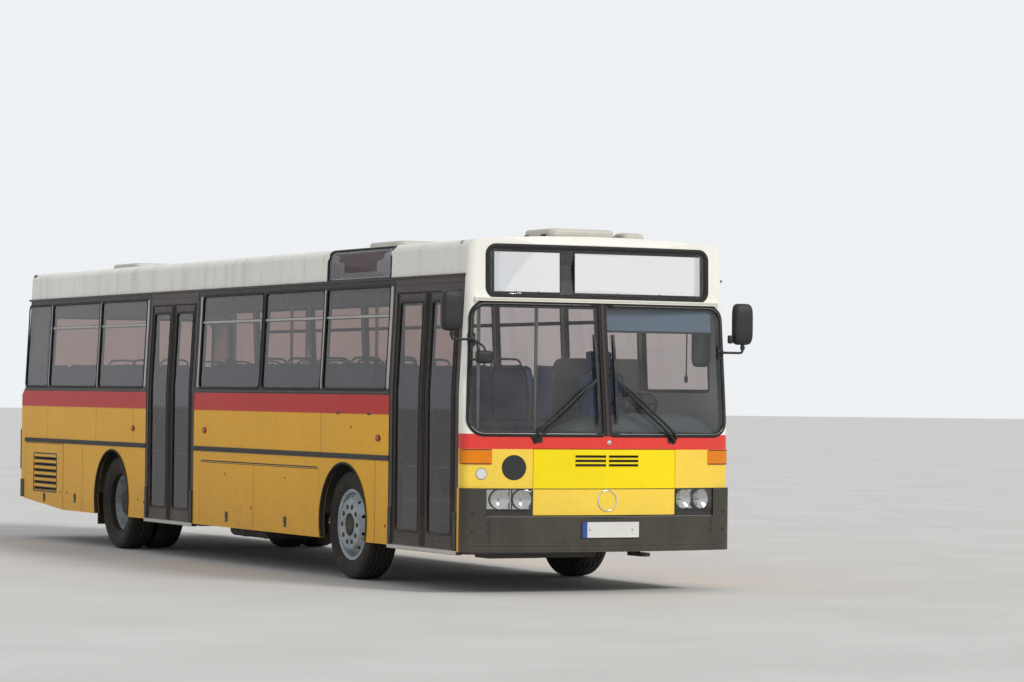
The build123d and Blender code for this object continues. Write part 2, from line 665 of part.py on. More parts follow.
# Underframe: two rails, cross members, outriggers, jacking pads and the front towing eye
BEAM_HEIGHT = (RAIL_HEIGHT[1] - 80, RAIL_HEIGHT[1])
beams = [inside((side * RAIL_X[0], side * RAIL_X[1]), RAIL_Y, RAIL_HEIGHT) for side, name in SIDES]
beams += [inside((-RAIL_X[0], RAIL_X[0]), (y - 40, y + 40), RAIL_HEIGHT) for y in CROSS_Y]
for y, left, right in OUTRIGGERS:
    if left < -RAIL_X[1]:
        beams.append(inside((left, -RAIL_X[1]), (y - 35, y + 35), BEAM_HEIGHT))
    beams.append(inside((RAIL_X[1], right), (y - 35, y + 35), BEAM_HEIGHT))
for x in (-PAD_X, PAD_X):
    for y in PAD_Y:
        with BuildPart() as pad:
            rod((x, y, PAD_Z), (x, y, BEAM_HEIGHT[0]), PAD_RADIUS)
        beams.append(pad.part)
with BuildPart() as towing_arm:
    block((TOW_X - 35, TOW_X + 35), (RAIL_Y[0] - 70, RAIL_Y[0]), (TOW_Z, RAIL_HEIGHT[1]))
    with BuildSketch(Plane.XY.offset(TOW_Z)):
        with Locations((TOW_X, (TOW_Y + RAIL_Y[0]) / 2)):
            SlotCenterToCenter(RAIL_Y[0] - TOW_Y, TOW_WIDTH, rotation=90)
    extrude(amount=TOW_THICK)
    rod((TOW_X, TOW_Y, TOW_Z - 10), (TOW_X, TOW_Y, TOW_Z + TOW_THICK + 10), TOW_BORE, mode=Mode.SUBTRACT)
beams.append(towing_arm.part)
save(Compound(children=beams), "underframe")

with BuildPart() as engine:
    block(ENGINE_X, ENGINE_Y, ENGINE_Z)
save(engine.part, "engine")

with BuildPart() as fuel_tank:
    block(TANK_X, TANK_Y, TANK_Z)
    fillet(fuel_tank.edges().filter_by(Axis.Y), 60)
    block((TANK_X[0] + 100, TANK_X[1] - 100), (TANK_Y[0] + 90, TANK_Y[0] + 150), (TANK_Z[1], FLOOR_BOTTOM))
    block((TANK_X[0] + 100, TANK_X[1] - 100), (TANK_Y[1] - 150, TANK_Y[1] - 90), (TANK_Z[1], FLOOR_BOTTOM))
save(fuel_tank.part, "fuel_tank")

# Front axle: a dropped beam with an eye and a kingpin at each end
HUB_Z = TYRE_RADIUS
with BuildPart() as front_axle:
    with BuildSketch(Plane.XZ.offset(-FRONT_AXLE_Y - 50)):
        with BuildLine():
            Polyline((-KINGPIN_X, HUB_Z - 45), (-760, HUB_Z - 60), (-640, BEAM_Z[0]), (640, BEAM_Z[0]),
                     (760, HUB_Z - 60), (KINGPIN_X, HUB_Z - 45), (KINGPIN_X, HUB_Z + 45),
                     (760, HUB_Z + 35), (640, BEAM_Z[1]), (-640, BEAM_Z[1]), (-760, HUB_Z + 35),
                     (-KINGPIN_X, HUB_Z + 45), close=True)
        make_face()
    extrude(amount=100)
    for side, name in SIDES:
        x = side * KINGPIN_X
        block((x - 60, x + 60), (FRONT_AXLE_Y - 80, FRONT_AXLE_Y + 80), (HUB_Z - 60, HUB_Z + 60),
              mode=Mode.SUBTRACT)
        block((x - side * 65, x - side * 20), (FRONT_AXLE_Y - 30, FRONT_AXLE_Y + 30),
              (HUB_Z - 45, HUB_Z + 35))
        rod((x, FRONT_AXLE_Y, HUB_Z - EYE_HALF), (x, FRONT_AXLE_Y, HUB_Z + EYE_HALF), EYE_RADIUS)
        rod((x, FRONT_AXLE_Y, HUB_Z - EAR_TOP - 6), (x, FRONT_AXLE_Y, HUB_Z + EAR_TOP + 6), KINGPIN_RADIUS)
    for x in (-390, 390):
        block((x - 40, x + 40), (FRONT_AXLE_Y - 60, FRONT_AXLE_Y + 60), (BEAM_Z[1], RAIL_HEIGHT[0]))
save(front_axle.part, "front_axle")

for side, name in SIDES:
    x = side * KINGPIN_X
    with BuildPart() as knuckle:
        for low, high in ((-EAR_TOP, -EYE_HALF - 5), (EYE_HALF + 5, EAR_TOP)):
            rod((x, FRONT_AXLE_Y, HUB_Z + low), (x, FRONT_AXLE_Y, HUB_Z + high), EYE_RADIUS)
            block((x, side * (KINGPIN_X + 80)), (FRONT_AXLE_Y - 40, FRONT_AXLE_Y + 40),
                  (HUB_Z + low, HUB_Z + high))
        block((side * (KINGPIN_X + 52), side * (KINGPIN_X + 80)),
              (FRONT_AXLE_Y - 55, FRONT_AXLE_Y + 55), (HUB_Z - EAR_TOP, HUB_Z + EAR_TOP))
        rod((side * (KINGPIN_X + 80), FRONT_AXLE_Y, HUB_Z), (side * SPINDLE_END, FRONT_AXLE_Y, HUB_Z),
            SPINDLE_RADIUS)
        rod((x, FRONT_AXLE_Y, HUB_Z - EAR_TOP - 10), (x, FRONT_AXLE_Y, HUB_Z + EAR_TOP + 10),
            KINGPIN_RADIUS + PIN_PLAY, mode=Mode.SUBTRACT)
    save(knuckle.part, name + "_knuckle")

# Rear axle: tube, differential and hub stubs, hung from the rails
with BuildPart() as rear_axle:
    rod((-REAR_STUB, REAR_AXLE_Y, HUB_Z), (REAR_STUB, REAR_AXLE_Y, HUB_Z), REAR_STUB_RADIUS)
    with Locations((0, REAR_AXLE_Y, HUB_Z)):
        Sphere(185)
    rod((0, REAR_AXLE_Y, HUB_Z), (0, ENGINE_Y[0], HUB_Z), 60)
    for x in (-390, 390):
        block((x - 40, x + 40), (REAR_AXLE_Y - 90, REAR_AXLE_Y + 90), (HUB_Z, RAIL_HEIGHT[0]))
save(rear_axle.part, "rear_axle")


def wheel_plane(x, y):
    """Sketch plane through the wheel axis: its X runs outward, its Y is the radius."""
    return Plane(origin=(x, y, HUB_Z), x_dir=(1, 0, 0), z_dir=(0, -1, 0))


def tyre(x, y):
    """One tyre on its rim's seat, revolved about the wheel axis."""
    half = TYRE_WIDTH / 2
    with BuildSketch(wheel_plane(x, y)) as section:
        with BuildLine():
            Polyline((-BEAD_HALF, RIM_RADIUS), (-BEAD_HALF, 312))
            ThreePointArc((-BEAD_HALF, 312), (-half, 388), (-half + 18, 462))
            Polyline((-half + 18, 462), (-half + 40, TYRE_RADIUS), (half - 40, TYRE_RADIUS),
                     (half - 18, 462))
            ThreePointArc((half - 18, 462), (half, 388), (BEAD_HALF, 312))
            Polyline((BEAD_HALF, 312), (BEAD_HALF, RIM_RADIUS), (-BEAD_HALF, RIM_RADIUS))
        make_face()
    revolve(section.sketch, axis=Axis((x, y, HUB_Z), (1, 0, 0)))


def rim_ring(x, y):
    """Barrel and flanges of one rim, revolved about the wheel axis."""
    with BuildSketch(wheel_plane(x, y)) as section:
        with BuildLine():
            flange = BEAD_HALF + 12
            Polyline((-flange, 311), (-BEAD_HALF, 311), (-BEAD_HALF, RIM_RADIUS),
                     (BEAD_HALF, RIM_RADIUS), (BEAD_HALF, 311), (flange, 311), (flange, 281),
                     (BEAD_HALF - 20, 270), (-BEAD_HALF + 20, 270), (-flange, 281), (-flange, 311))
        make_face()
    revolve(section.sketch, axis=Axis((x, y, HUB_Z), (1, 0, 0)))


def disc(x, y, profile):
    """Wheel disc and hub, revolved from its half section."""
    with BuildSketch(wheel_plane(x, y)) as section:
        with BuildLine():
            Polyline(*profile, close=True)
        make_face()
    revolve(section.sketch, axis=Axis((x, y, HUB_Z), (1, 0, 0)))


for side, name in SIDES:
    centre = side * (WHEEL_FACE - TYRE_WIDTH / 2)
    with BuildPart() as front_tyre:
        tyre(centre, FRONT_AXLE_Y)
    save(front_tyre.part, name + "_front_tyre")
    with BuildPart() as front_rim:
        rim_ring(centre, FRONT_AXLE_Y)
        bore = SPINDLE_RADIUS + 2
        disc(centre, FRONT_AXLE_Y, [(side * a, r) for a, r in (
            (88, 271), (100, 240), (128, 212), (128, 108), (134, 100), (134, 0), (100, 0),
            (100, bore), (20, bore), (20, 95), (112, 100), (112, 205), (86, 232), (72, 271))])
        with Locations(Plane(origin=(centre + side * 60, FRONT_AXLE_Y, HUB_Z), z_dir=(side, 0, 0))):
            with PolarLocations(188, 10):
                Cylinder(21, 200, mode=Mode.SUBTRACT)
    save(front_rim.part, name + "_front_rim")

    with BuildPart() as rear_tyres:
        tyre(centre, REAR_AXLE_Y)
        tyre(centre - side * DUAL_SPACING, REAR_AXLE_Y)
    save(rear_tyres.part, name + "_rear_tyres")
    with BuildPart() as rear_rims:
        middle = centre - side * DUAL_SPACING / 2
        rim_ring(centre, REAR_AXLE_Y)
        rim_ring(centre - side * DUAL_SPACING, REAR_AXLE_Y)
        bore = REAR_STUB_RADIUS + 2
        disc(middle, REAR_AXLE_Y, [(side * a, r) for a, r in (
            (-84, 271), (-12, 225), (-12, bore), (210, bore), (210, 0), (232, 0), (232, 95),
            (215, 112), (60, 118), (12, 140), (12, 225), (84, 271), (66, 271), (0, 236), (-66, 271))])
        with Locations(Plane(origin=(middle, REAR_AXLE_Y, HUB_Z), z_dir=(side, 0, 0))):
            with PolarLocations(190, 10):
                Cylinder(21, 100, mode=Mode.SUBTRACT)
    save(rear_rims.part, name + "_rear_rims")

# Seats: each pair is two shells on one frame with a foot
def seat_pair(x, y, foot, floor=SEAT_BASE, width=SEAT_PAIR):
    """A pair of seats facing forward, its back at y, on a foot that starts at height foot."""
    with BuildSketch(Plane.YZ.offset(x - width / 2)) as profile:
        with BuildLine():
            Polyline((y - 430, floor + 395), (y - 440, floor + 440), (y - 60, floor + 440),
                     (y + 10, SEAT_BACK + floor), (y + 70, SEAT_BACK + floor), (y + 20, floor + 395),
                     close=True)
        make_face()
    extrude(profile.sketch, amount=width)
    block((x - 60, x + 60), (y - 330, y - 90), (foot, floor + 400))


with BuildPart() as seats:
    for x, y, foot in PAIRS:
        seat_pair(x, y, foot)
    seat_pair(0, BENCH_Y, PLATFORM_Z, width=2 * 1190)
save(seats.part, "seats")

with BuildPart() as driver_seat:
    seat_pair(DRIVER_X, DRIVER_Y, FLOOR_Z, floor=DRIVER_BASE, width=500)
    block((DRIVER_X - 130, DRIVER_X + 130), (DRIVER_Y + 12, DRIVER_Y + 68),
          (DRIVER_BASE + SEAT_BACK, DRIVER_BASE + SEAT_BACK + 190))
save(driver_seat.part, "driver_seat")

# Dashboard with its front bulkhead
with BuildPart() as dashboard:
    with BuildSketch(Plane.YZ.offset(DASH_X[0])):
        with BuildLine():
            Polyline((-5700, 1010), (-5700, 1262), (-5420, 1290), (-5250, 1210), (-5230, 1120),
                     (-5330, 1010), close=True)
        make_face()
    extrude(amount=DASH_X[1] - DASH_X[0])
    block((-380, 1202), (-5440, -5410), (FLOOR_Z, 1020))
    block((-1100, DASH_X[0]), (-5700, -5600), (1180, 1262))
    rod((DRIVER_X, -5300, 1150), (DRIVER_X, COLUMN_END_Y, COLUMN_END_Z), 28)
    add(LINING, mode=Mode.INTERSECT)
save(dashboard.part, "dashboard")

# Steering wheel on the column's axis
COLUMN_RUN = Vector(0, COLUMN_END_Y + 5300, COLUMN_END_Z - 1150).normalized()
WHEEL_CENTRE = Vector(DRIVER_X, COLUMN_END_Y, COLUMN_END_Z) + COLUMN_RUN * 40
with BuildPart() as steering_wheel:
    with Locations(Plane(origin=WHEEL_CENTRE, z_dir=COLUMN_RUN)):
        Torus(STEERING_RADIUS, 15)
        Cylinder(45, 40)
    for turn in (90, 210, 330):
        spoke = Vector(cos(radians(turn)), 0, 0) + COLUMN_RUN.cross(Vector(1, 0, 0)) * sin(radians(turn))
        end = WHEEL_CENTRE + spoke * STEERING_RADIUS
        rod(tuple(WHEEL_CENTRE), tuple(end), 11)
    rod(tuple(WHEEL_CENTRE - COLUMN_RUN * 38), tuple(WHEEL_CENTRE), 20)
save(steering_wheel.part, "steering_wheel")

# Grab rails: poles from the floor to two rails under the roof
with BuildPart() as handrails:
    for x in (-POLE_X, POLE_X):
        rod((x, RAIL_RUN[0], CEILING_RAIL_Z), (x, RAIL_RUN[1], CEILING_RAIL_Z), 16)
        for y in HANGERS:
            rod((x, y, CEILING_RAIL_Z), (x, y, 2960), 12)
    for x, y in POLES:
        rod((x, y, FLOOR_Z), (x, y, CEILING_RAIL_Z), 16)
    add(LINING, mode=Mode.INTERSECT)
save(handrails.part, "handrails")

with BuildPart() as driver_partition:
    block((330, 1202), (-4132, -4110), (FLOOR_Z, 1950))
    fillet(driver_partition.edges().filter_by(Axis.Y).sort_by(Axis.Z)[-2:].sort_by(Axis.X)[:1], 80)
    add(LINING, mode=Mode.INTERSECT)
save(driver_partition.part, "driver_partition")

# Mirrors on tube arms from the corner posts
with BuildPart() as mirrors:
    for side, low in ((-1, 2120), (1, 2060)):
        with BuildPart(mode=Mode.PRIVATE) as head:
            block((side * MIRROR_X[0], side * MIRROR_X[1]), MIRROR_Y, (low, low + MIRROR_TALL))
            fillet(head.edges().filter_by(Axis.Y), 40)
        add(head.part)
        rod((side * 1362, -5600, low - 55), (side * 1362, -5600, low + 20), 12)
        rod((side * 1362, -5600, low - 45), (side * 1150, -5560, low - 45), 12)
    add(SKIN, mode=Mode.SUBTRACT)
save(mirrors.part, "mirrors")

# Wipers: an upright blade beside the divider on each screen, with its arm
with BuildPart() as wipers:
    for side, name in SIDES:
        rod((side * 58, -5750, 1400), (side * 62, -5662, 2120), 12)
        rod((side * 640, -5738, 1262), (side * 60, -5718, 1760), 10)
        rod((side * 640, -5742, 1262), (side * 640, -5690, 1262), 22)
    add(SKIN, mode=Mode.SUBTRACT)
save(wipers.part, "wipers")

with BuildPart() as mudflaps:
    for side, name in SIDES:
        block((side * 590, side * 1180), (REAR_AXLE_Y + 575, REAR_AXLE_Y + 583), (230, FLOOR_BOTTOM))
save(mudflaps.part, "mudflaps")
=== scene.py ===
from math import atan2, cos, pi, radians, sin, sqrt

import bmesh
import bpy
from mathutils import Matrix, Vector


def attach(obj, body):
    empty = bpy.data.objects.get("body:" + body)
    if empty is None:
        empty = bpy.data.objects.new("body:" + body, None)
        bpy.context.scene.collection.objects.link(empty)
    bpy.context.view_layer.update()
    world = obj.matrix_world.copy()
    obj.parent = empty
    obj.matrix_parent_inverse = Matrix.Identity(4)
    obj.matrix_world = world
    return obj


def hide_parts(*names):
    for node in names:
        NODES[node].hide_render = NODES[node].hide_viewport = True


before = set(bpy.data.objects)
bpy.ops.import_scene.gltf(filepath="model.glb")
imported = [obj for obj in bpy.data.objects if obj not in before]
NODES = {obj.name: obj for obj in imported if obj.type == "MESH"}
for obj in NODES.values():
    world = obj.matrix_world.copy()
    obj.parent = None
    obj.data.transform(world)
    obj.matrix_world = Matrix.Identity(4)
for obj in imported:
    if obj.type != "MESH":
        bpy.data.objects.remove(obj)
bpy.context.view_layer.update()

BUS = "bus_body"
SCENE = bpy.context.scene

# the camera, as fitted to the photograph
YAW, PITCH, ROLL = 0.4631, 0.0158, 0.0112
CAMERA_SPOT = (-13.2367, -30.4746, 1.6276)
LENS, SENSOR = 119.7, 36


def photo_camera():
    ahead = Vector((sin(YAW) * cos(PITCH), cos(YAW) * cos(PITCH), sin(PITCH)))
    right = ahead.cross(Vector((0, 0, 1))).normalized()
    above = right.cross(ahead)
    rolled = right * cos(ROLL) + above * sin(ROLL)
    upright = above * cos(ROLL) - right * sin(ROLL)
    place = Matrix((rolled, upright, -ahead)).transposed().to_4x4()
    place.translation = CAMERA_SPOT
    camera = bpy.data.objects.new("camera", bpy.data.cameras.new("camera"))
    SCENE.collection.objects.link(camera)
    camera.matrix_world = place
    camera.data.lens = LENS
    camera.data.sensor_width = SENSOR
    camera.data.clip_end = 300
    SCENE.camera = camera
    SCENE.view_settings.view_transform = "Standard"


photo_camera()


# materials
def srgb(red, green, blue):
    """A colour read from 0-255 values, as Blender's linear one."""
    out = []
    for c in (red, green, blue):
        c /= 255
        out.append(c / 12.92 if c <= 0.04045 else ((c + 0.055) / 1.055) ** 2.4)
    return (*out, 1.0)


FINISHES = {}


class Finish:
    """One material and a short way to write its nodes."""

    def __init__(self, name, roughness=0.5, metallic=0.0, coat=0.0, specular=0.5, **more):
        self.material = bpy.data.materials.new(name)
        self.material.use_nodes = True
        self.tree = self.material.node_tree
        self.shader = self.tree.nodes["Principled BSDF"]
        self.output = self.tree.nodes["Material Output"]
        self.put("Roughness", roughness)
        self.put("Metallic", metallic)
        self.put("Coat Weight", coat)
        self.put("Coat Roughness", 0.08)
        self.put("Specular IOR Level", specular)
        for key, value in more.items():
            self.put(key.replace("_", " "), value)
        spot = self.make("ShaderNodeTexCoord")
        self.spot = spot.outputs["Object"]
        self.x, self.y, self.z = self.make("ShaderNodeSeparateXYZ", {0: self.spot}).outputs
        turned = self.make("ShaderNodeSeparateXYZ", {0: spot.outputs["Normal"]})
        self.nx, self.ny, self.nz = turned.outputs
        FINISHES[name] = self.material

    def feed(self, socket, value):
        """Links a socket to another one, or sets its value."""
        if isinstance(value, bpy.types.NodeSocket):
            self.tree.links.new(value, socket)
        else:
            socket.default_value = value

    def put(self, key, value):
        self.feed(self.shader.inputs[key], value)

    def make(self, kind, inputs=None, **settings):
        node = self.tree.nodes.new(kind)
        for key, value in settings.items():
            setattr(node, key, value)
        for key, value in (inputs or {}).items():
            self.feed(node.inputs[key], value)
        return node

    def stretched(self, stretch):
        if not stretch:
            return self.spot
        return self.make("ShaderNodeVectorMath", {0: self.spot, 1: stretch}, operation="MULTIPLY").outputs[0]

    def noise(self, scale, detail=3.0, stretch=None, rough=0.55):
        inputs = {"Vector": self.stretched(stretch), "Scale": scale, "Detail": detail, "Roughness": rough}
        return self.make("ShaderNodeTexNoise", inputs).outputs[0]

    def cells(self, scale, stretch=None):
        node = self.make("ShaderNodeTexVoronoi", {"Vector": self.stretched(stretch), "Scale": scale})
        return node.outputs["Distance"]

    def spread(self, value, low, high, to_low=0.0, to_high=1.0):
        inputs = {0: value, 1: low, 2: high, 3: to_low, 4: to_high}
        return self.make("ShaderNodeMapRange", inputs, clamp=True).outputs[0]

    def calc(self, operation, a, b=0.0):
        return self.make("ShaderNodeMath", {0: a, 1: b}, operation=operation).outputs[0]

    def times(self, a, b):
        return self.calc("MULTIPLY", a, b)

    def wave(self, value, rate):
        return self.calc("SINE", self.times(value, rate))

    def blend(self, factor, a, b, kind="MIX"):
        inputs = {0: factor, 6: a, 7: b}
        return self.make("ShaderNodeMix", inputs, data_type="RGBA", blend_type=kind).outputs[2]

    def bump(self, height, strength=0.3, distance=0.002):
        inputs = {"Height": height, "Strength": strength, "Distance": distance}
        self.put("Normal", self.make("ShaderNodeBump", inputs).outputs[0])

    def over(self, value, edge, soft=0.0015):
        """1 above edge, 0 below it."""
        return self.spread(value, edge - soft, edge + soft)

    def uneven(self, scale, low, high):
        """Roughness that wanders between two values."""
        self.put("Roughness", self.spread(self.noise(scale), 0.3, 0.7, low, high))


# the front's gold and bright red are paler, brighter copies of the side's yellow and red: painted light on
# the front
YELLOW, LEMON, YELLOW_PAINTED_LIT = srgb(252, 186, 10), srgb(255, 228, 2), srgb(255, 218, 80)
RED, RED_PAINTED_LIT, BLACK, WHITE = srgb(206, 32, 26), srgb(232, 66, 58), srgb(34, 30, 30), srgb(250, 248, 239)
LINING, ROAD_DUST, RAIN_DIRT = srgb(214, 211, 202), srgb(122, 108, 88), srgb(112, 104, 92)
BUMPER_GREY, AMBER, LENS_RED = srgb(54, 51, 44), srgb(255, 146, 14), srgb(206, 26, 22)
LENS_CLEAR, SOOT = srgb(214, 216, 216), srgb(36, 34, 33)
RED_BAND_Z, WINDOW_BAND_Z, REAR_WHITE_Z = 1.447, 1.615, 2.595
FRONT_RED_Z, FRONT_WHITE_Z, FLAP_LEMON_Z = 1.185, 1.309, 0.862
SIDE_BANDS = ((0, YELLOW), (RED_BAND_Z, RED), (WINDOW_BAND_Z, BLACK))
# the front's and the flap's bands use the paler lit copies of yellow and red: painted light
FRONT_BANDS = ((0, YELLOW_PAINTED_LIT), (FRONT_RED_Z, RED_PAINTED_LIT), (FRONT_WHITE_Z, WHITE))
FLAP_BANDS = ((0, YELLOW_PAINTED_LIT), (FLAP_LEMON_Z, LEMON), (FRONT_RED_Z, RED_PAINTED_LIT))
BUMPER_END_Y, BUMPER_PART_Y = -5.532, -5.0


def weathered(f, colour, roughness=0.4, vary=0.05, dust=0.35, dust_top=1.0, grain=(60.0, 0.06), streaks=0.0):
    """Colour variation, road dust low down, rain streaks, uneven gloss and a fine surface."""
    broad = f.spread(f.noise(0.8, 4.0), 0.3, 0.7, 1 - vary, 1 + vary)
    fine = f.noise(22.0, 5.0, rough=0.65)
    colour = f.blend(1.0, colour, broad, "MULTIPLY")
    colour = f.blend(1.0, colour, f.spread(fine, 0.3, 0.7, 1 - vary * 0.6, 1 + vary * 0.4), "MULTIPLY")
    if dust:
        low = f.calc("POWER", f.spread(f.z, dust_top, 0.25), 1.6)
        cover = f.times(low, f.spread(f.noise(4.0, 6.0, rough=0.6), 0.3, 0.75))
        colour = f.blend(f.times(cover, dust), colour, ROAD_DUST)
    if streaks:
        trails = f.noise(9.0, 4.0, stretch=(1.0, 1.0, 0.06))
        colour = f.blend(f.times(f.spread(trails, 0.52, 0.75), streaks), colour, RAIN_DIRT)
    f.put("Base Color", colour)
    f.put("Roughness", f.spread(fine, 0.25, 0.75, max(roughness - 0.09, 0.03), roughness + 0.12))
    f.bump(f.noise(grain[0], 4.0), grain[1], 0.004)


def body_paint(name, bands, inner, roughness=0.3, streaks=0.08):
    """Paint whose colour goes by height, with the lining's colour on the inner face."""
    f = Finish(name, specular=0.35 if inner == "front" else 0.16)
    colour = bands[0][1]
    for height, above_it in bands[1:]:
        colour = f.blend(f.over(f.z, height), colour, above_it)
    facing_out = {"x": f.times(f.nx, f.x), "front": f.times(f.ny, -1.0), "tail": f.ny, "roof": f.nz}[inner]
    colour = f.blend(f.calc("LESS_THAN", facing_out, -0.02), colour, LINING)
    weathered(f, colour, roughness, dust=0.28, dust_top=1.25, grain=(5.0, 0.016), streaks=streaks)


body_paint("side_paint", SIDE_BANDS, "x")
body_paint("tail_paint", SIDE_BANDS + ((REAR_WHITE_Z, WHITE),), "tail")
# the front and its flap get the lit copies of yellow and red: painted light
body_paint("front_paint_and_painted_light", FRONT_BANDS, "front", streaks=0.04)
body_paint("flap_paint_and_painted_light", FLAP_BANDS, "front", streaks=0.0)
body_paint("roof_paint", ((0, WHITE),), "roof", streaks=0.3)
body_paint("window_black", ((0, BLACK),), "x", 0.35)


def bumper_paint():
    """Grey bumpers; the body's yellow shows between the front one's end and the door."""
    f = Finish("bumper_paint")
    ahead = f.calc("LESS_THAN", f.y, BUMPER_PART_Y)
    colour = f.blend(f.times(ahead, f.over(f.y, BUMPER_END_Y)), BUMPER_GREY, YELLOW)
    weathered(f, colour, 0.62, 0.09, 0.3, 1.1, (260.0, 0.45), 0.1)


bumper_paint()


def simple(name, colour, roughness, grain=(300.0, 0.15), vary=0.08, dust=0.0, streaks=0.0, **more):
    weathered(Finish(name, **more), colour, roughness, vary, dust, 1.1, grain, streaks)


simple("frame_brown", srgb(58, 44, 43), 0.42, (900.0, 0.04), dust=0.3, metallic=0.35)
simple("rubber", srgb(26, 25, 25), 0.72, (420.0, 0.25), dust=0.5)
simple("rubber_grey", srgb(70, 70, 68), 0.75, (420.0, 0.2), dust=0.3)
simple("bumper_grey", BUMPER_GREY, 0.62, (260.0, 0.45), vary=0.09, dust=0.3, streaks=0.1)
simple("black_plastic", srgb(30, 30, 31), 0.5, (600.0, 0.3), dust=0.3)
simple("dash_grey", srgb(74, 76, 76), 0.66, (700.0, 0.4))
simple("grey_plastic", srgb(128, 128, 126), 0.55, (500.0, 0.25))
simple("pale_plastic", srgb(206, 203, 192), 0.5, (120.0, 0.1), streaks=0.12)
simple("steel", srgb(170, 170, 168), 0.3, (500.0, 0.08), dust=0.1, metallic=0.9)
simple("chrome", srgb(215, 215, 212), 0.1, (200.0, 0.02), vary=0.03, dust=0.1, metallic=1.0)
simple("mirror_glass", srgb(210, 215, 220), 0.03, (5.0, 0.01), vary=0.01, metallic=1.0)
# near-black: the dark joints of the panel seams, and the sheets behind slots and louvres, where it is painted
# shade
simple("slot_black", srgb(14, 13, 13), 0.8, dust=0.2)
simple("plate_white", srgb(226, 226, 222), 0.35, (500.0, 0.05), vary=0.03, dust=0.25)
simple("plate_blue", srgb(30, 78, 160), 0.35, vary=0.03, dust=0.2)
simple("blind_cloth", srgb(232, 233, 235), 0.7, (900.0, 0.2), vary=0.03)
simple("side_blind", srgb(70, 48, 48), 0.5, (900.0, 0.2))
simple("sign_black", srgb(20, 20, 21), 0.25, vary=0.05, coat=0.4)
simple("tread_plate", srgb(74, 72, 68), 0.6, (90.0, 0.5))
simple("cast_iron", srgb(66, 62, 58), 0.7, (150.0, 0.6), dust=0.5, metallic=0.5)
simple("partition", srgb(120, 120, 118), 0.5, (600.0, 0.3))
simple("seat_shell_plastic", srgb(86, 96, 112), 0.48, (650.0, 0.25), vary=0.07)
simple("piping", srgb(38, 42, 60), 0.6, (900.0, 0.2))
simple("dial_face", srgb(18, 20, 22), 0.35, (900.0, 0.05), coat=0.3)
simple("blind_grey", srgb(104, 118, 132), 0.7, (900.0, 0.25), vary=0.05)
simple("light_cover", srgb(236, 238, 240), 0.35, (240.0, 0.15), vary=0.03)


def aluminium():
    f = Finish("aluminium", metallic=0.75)
    brushed = f.noise(160.0, 3.0, stretch=(6.0, 6.0, 0.15))
    base = f.blend(f.spread(brushed, 0.3, 0.7), srgb(150, 148, 146), srgb(186, 184, 180))
    stains = f.times(f.spread(f.noise(6.0, 5.0), 0.5, 0.8), 0.4)
    f.put("Base Color", f.blend(stains, base, srgb(118, 112, 106)))
    f.put("Roughness", f.spread(brushed, 0.2, 0.8, 0.3, 0.5))
    f.bump(brushed, 0.08, 0.001)


def worn_coat(name, tones, patches, layers, gloss, grain, **more):
    """Two tones in patches, under layers of dirt and rust."""
    f = Finish(name, **more)
    scale, low, high = patches
    colour = f.blend(f.spread(f.noise(scale, 5.0), low, high), *tones)
    for scale, detail, low, high, amount, tone in layers:
        cover = f.spread(f.noise(scale, detail, rough=0.7), low, high)
        colour = f.blend(f.times(cover, amount), colour, tone)
    f.put("Base Color", colour)
    f.uneven(*gloss)
    scale, detail, strength, distance = grain
    f.bump(f.noise(scale, detail), strength, distance)


aluminium()
worn_coat("tyre_rubber", (SOOT, srgb(58, 53, 48)), (5.0, 0.35, 0.75),
          ((30.0, 6.0, 0.45, 0.8, 0.5, srgb(86, 78, 68)),), (40.0, 0.72, 0.92), (700.0, 4.0, 0.35, 0.001),
          specular=0.35)
worn_coat("wheel_paint", (srgb(150, 160, 168), srgb(176, 182, 184)), (7.0, 0.35, 0.7),
          ((16.0, 6.0, 0.5, 0.72, 0.65, srgb(88, 74, 62)), (60.0, 5.0, 0.66, 0.72, 1.0, srgb(92, 52, 30))),
          (30.0, 0.4, 0.65), (120.0, 5.0, 0.2, 0.001), metallic=0.25, coat=0.1)
worn_coat("chassis_paint", (SOOT, srgb(70, 62, 54)), (6.0, 0.4, 0.7),
          ((25.0, 6.0, 0.62, 0.7, 1.0, srgb(96, 58, 36)),), (30.0, 0.6, 0.9), (90.0, 5.0, 0.5, 0.002))
worn_coat("engine_block", (srgb(78, 80, 78), srgb(48, 44, 40)), (5.0, 0.35, 0.7),
          (), (30.0, 0.5, 0.8), (40.0, 5.0, 0.5, 0.003), metallic=0.4)


def seat_fabric():
    """Blue-violet woven seat cloth with a small scattered pattern."""
    f = Finish("seat_fabric", roughness=0.9, specular=0.2, Sheen_Weight=0.3, Sheen_Roughness=0.5)
    f.put("Sheen Tint", srgb(150, 150, 200))
    threads = 2600.0
    weave = f.times(f.wave(f.x, threads), f.wave(f.calc("ADD", f.y, f.z), threads))
    base = f.blend(f.spread(weave, -1.0, 1.0), srgb(84, 102, 148), srgb(108, 128, 176))
    dashes = f.spread(f.cells(42.0, stretch=(1.0, 0.45, 0.45)), 0.13, 0.19, 1.0, 0.0)
    base = f.blend(f.times(dashes, 0.8), base, srgb(122, 60, 96))
    flecks = f.spread(f.cells(61.0, stretch=(0.5, 1.0, 1.0)), 0.1, 0.15, 1.0, 0.0)
    base = f.blend(f.times(flecks, 0.7), base, srgb(120, 130, 170))
    worn = f.spread(f.noise(5.0, 4.0), 0.3, 0.7, 0.9, 1.1)
    f.put("Base Color", f.blend(1.0, base, worn, "MULTIPLY"))
    f.uneven(60.0, 0.85, 0.97)
    f.bump(weave, 0.3, 0.0008)


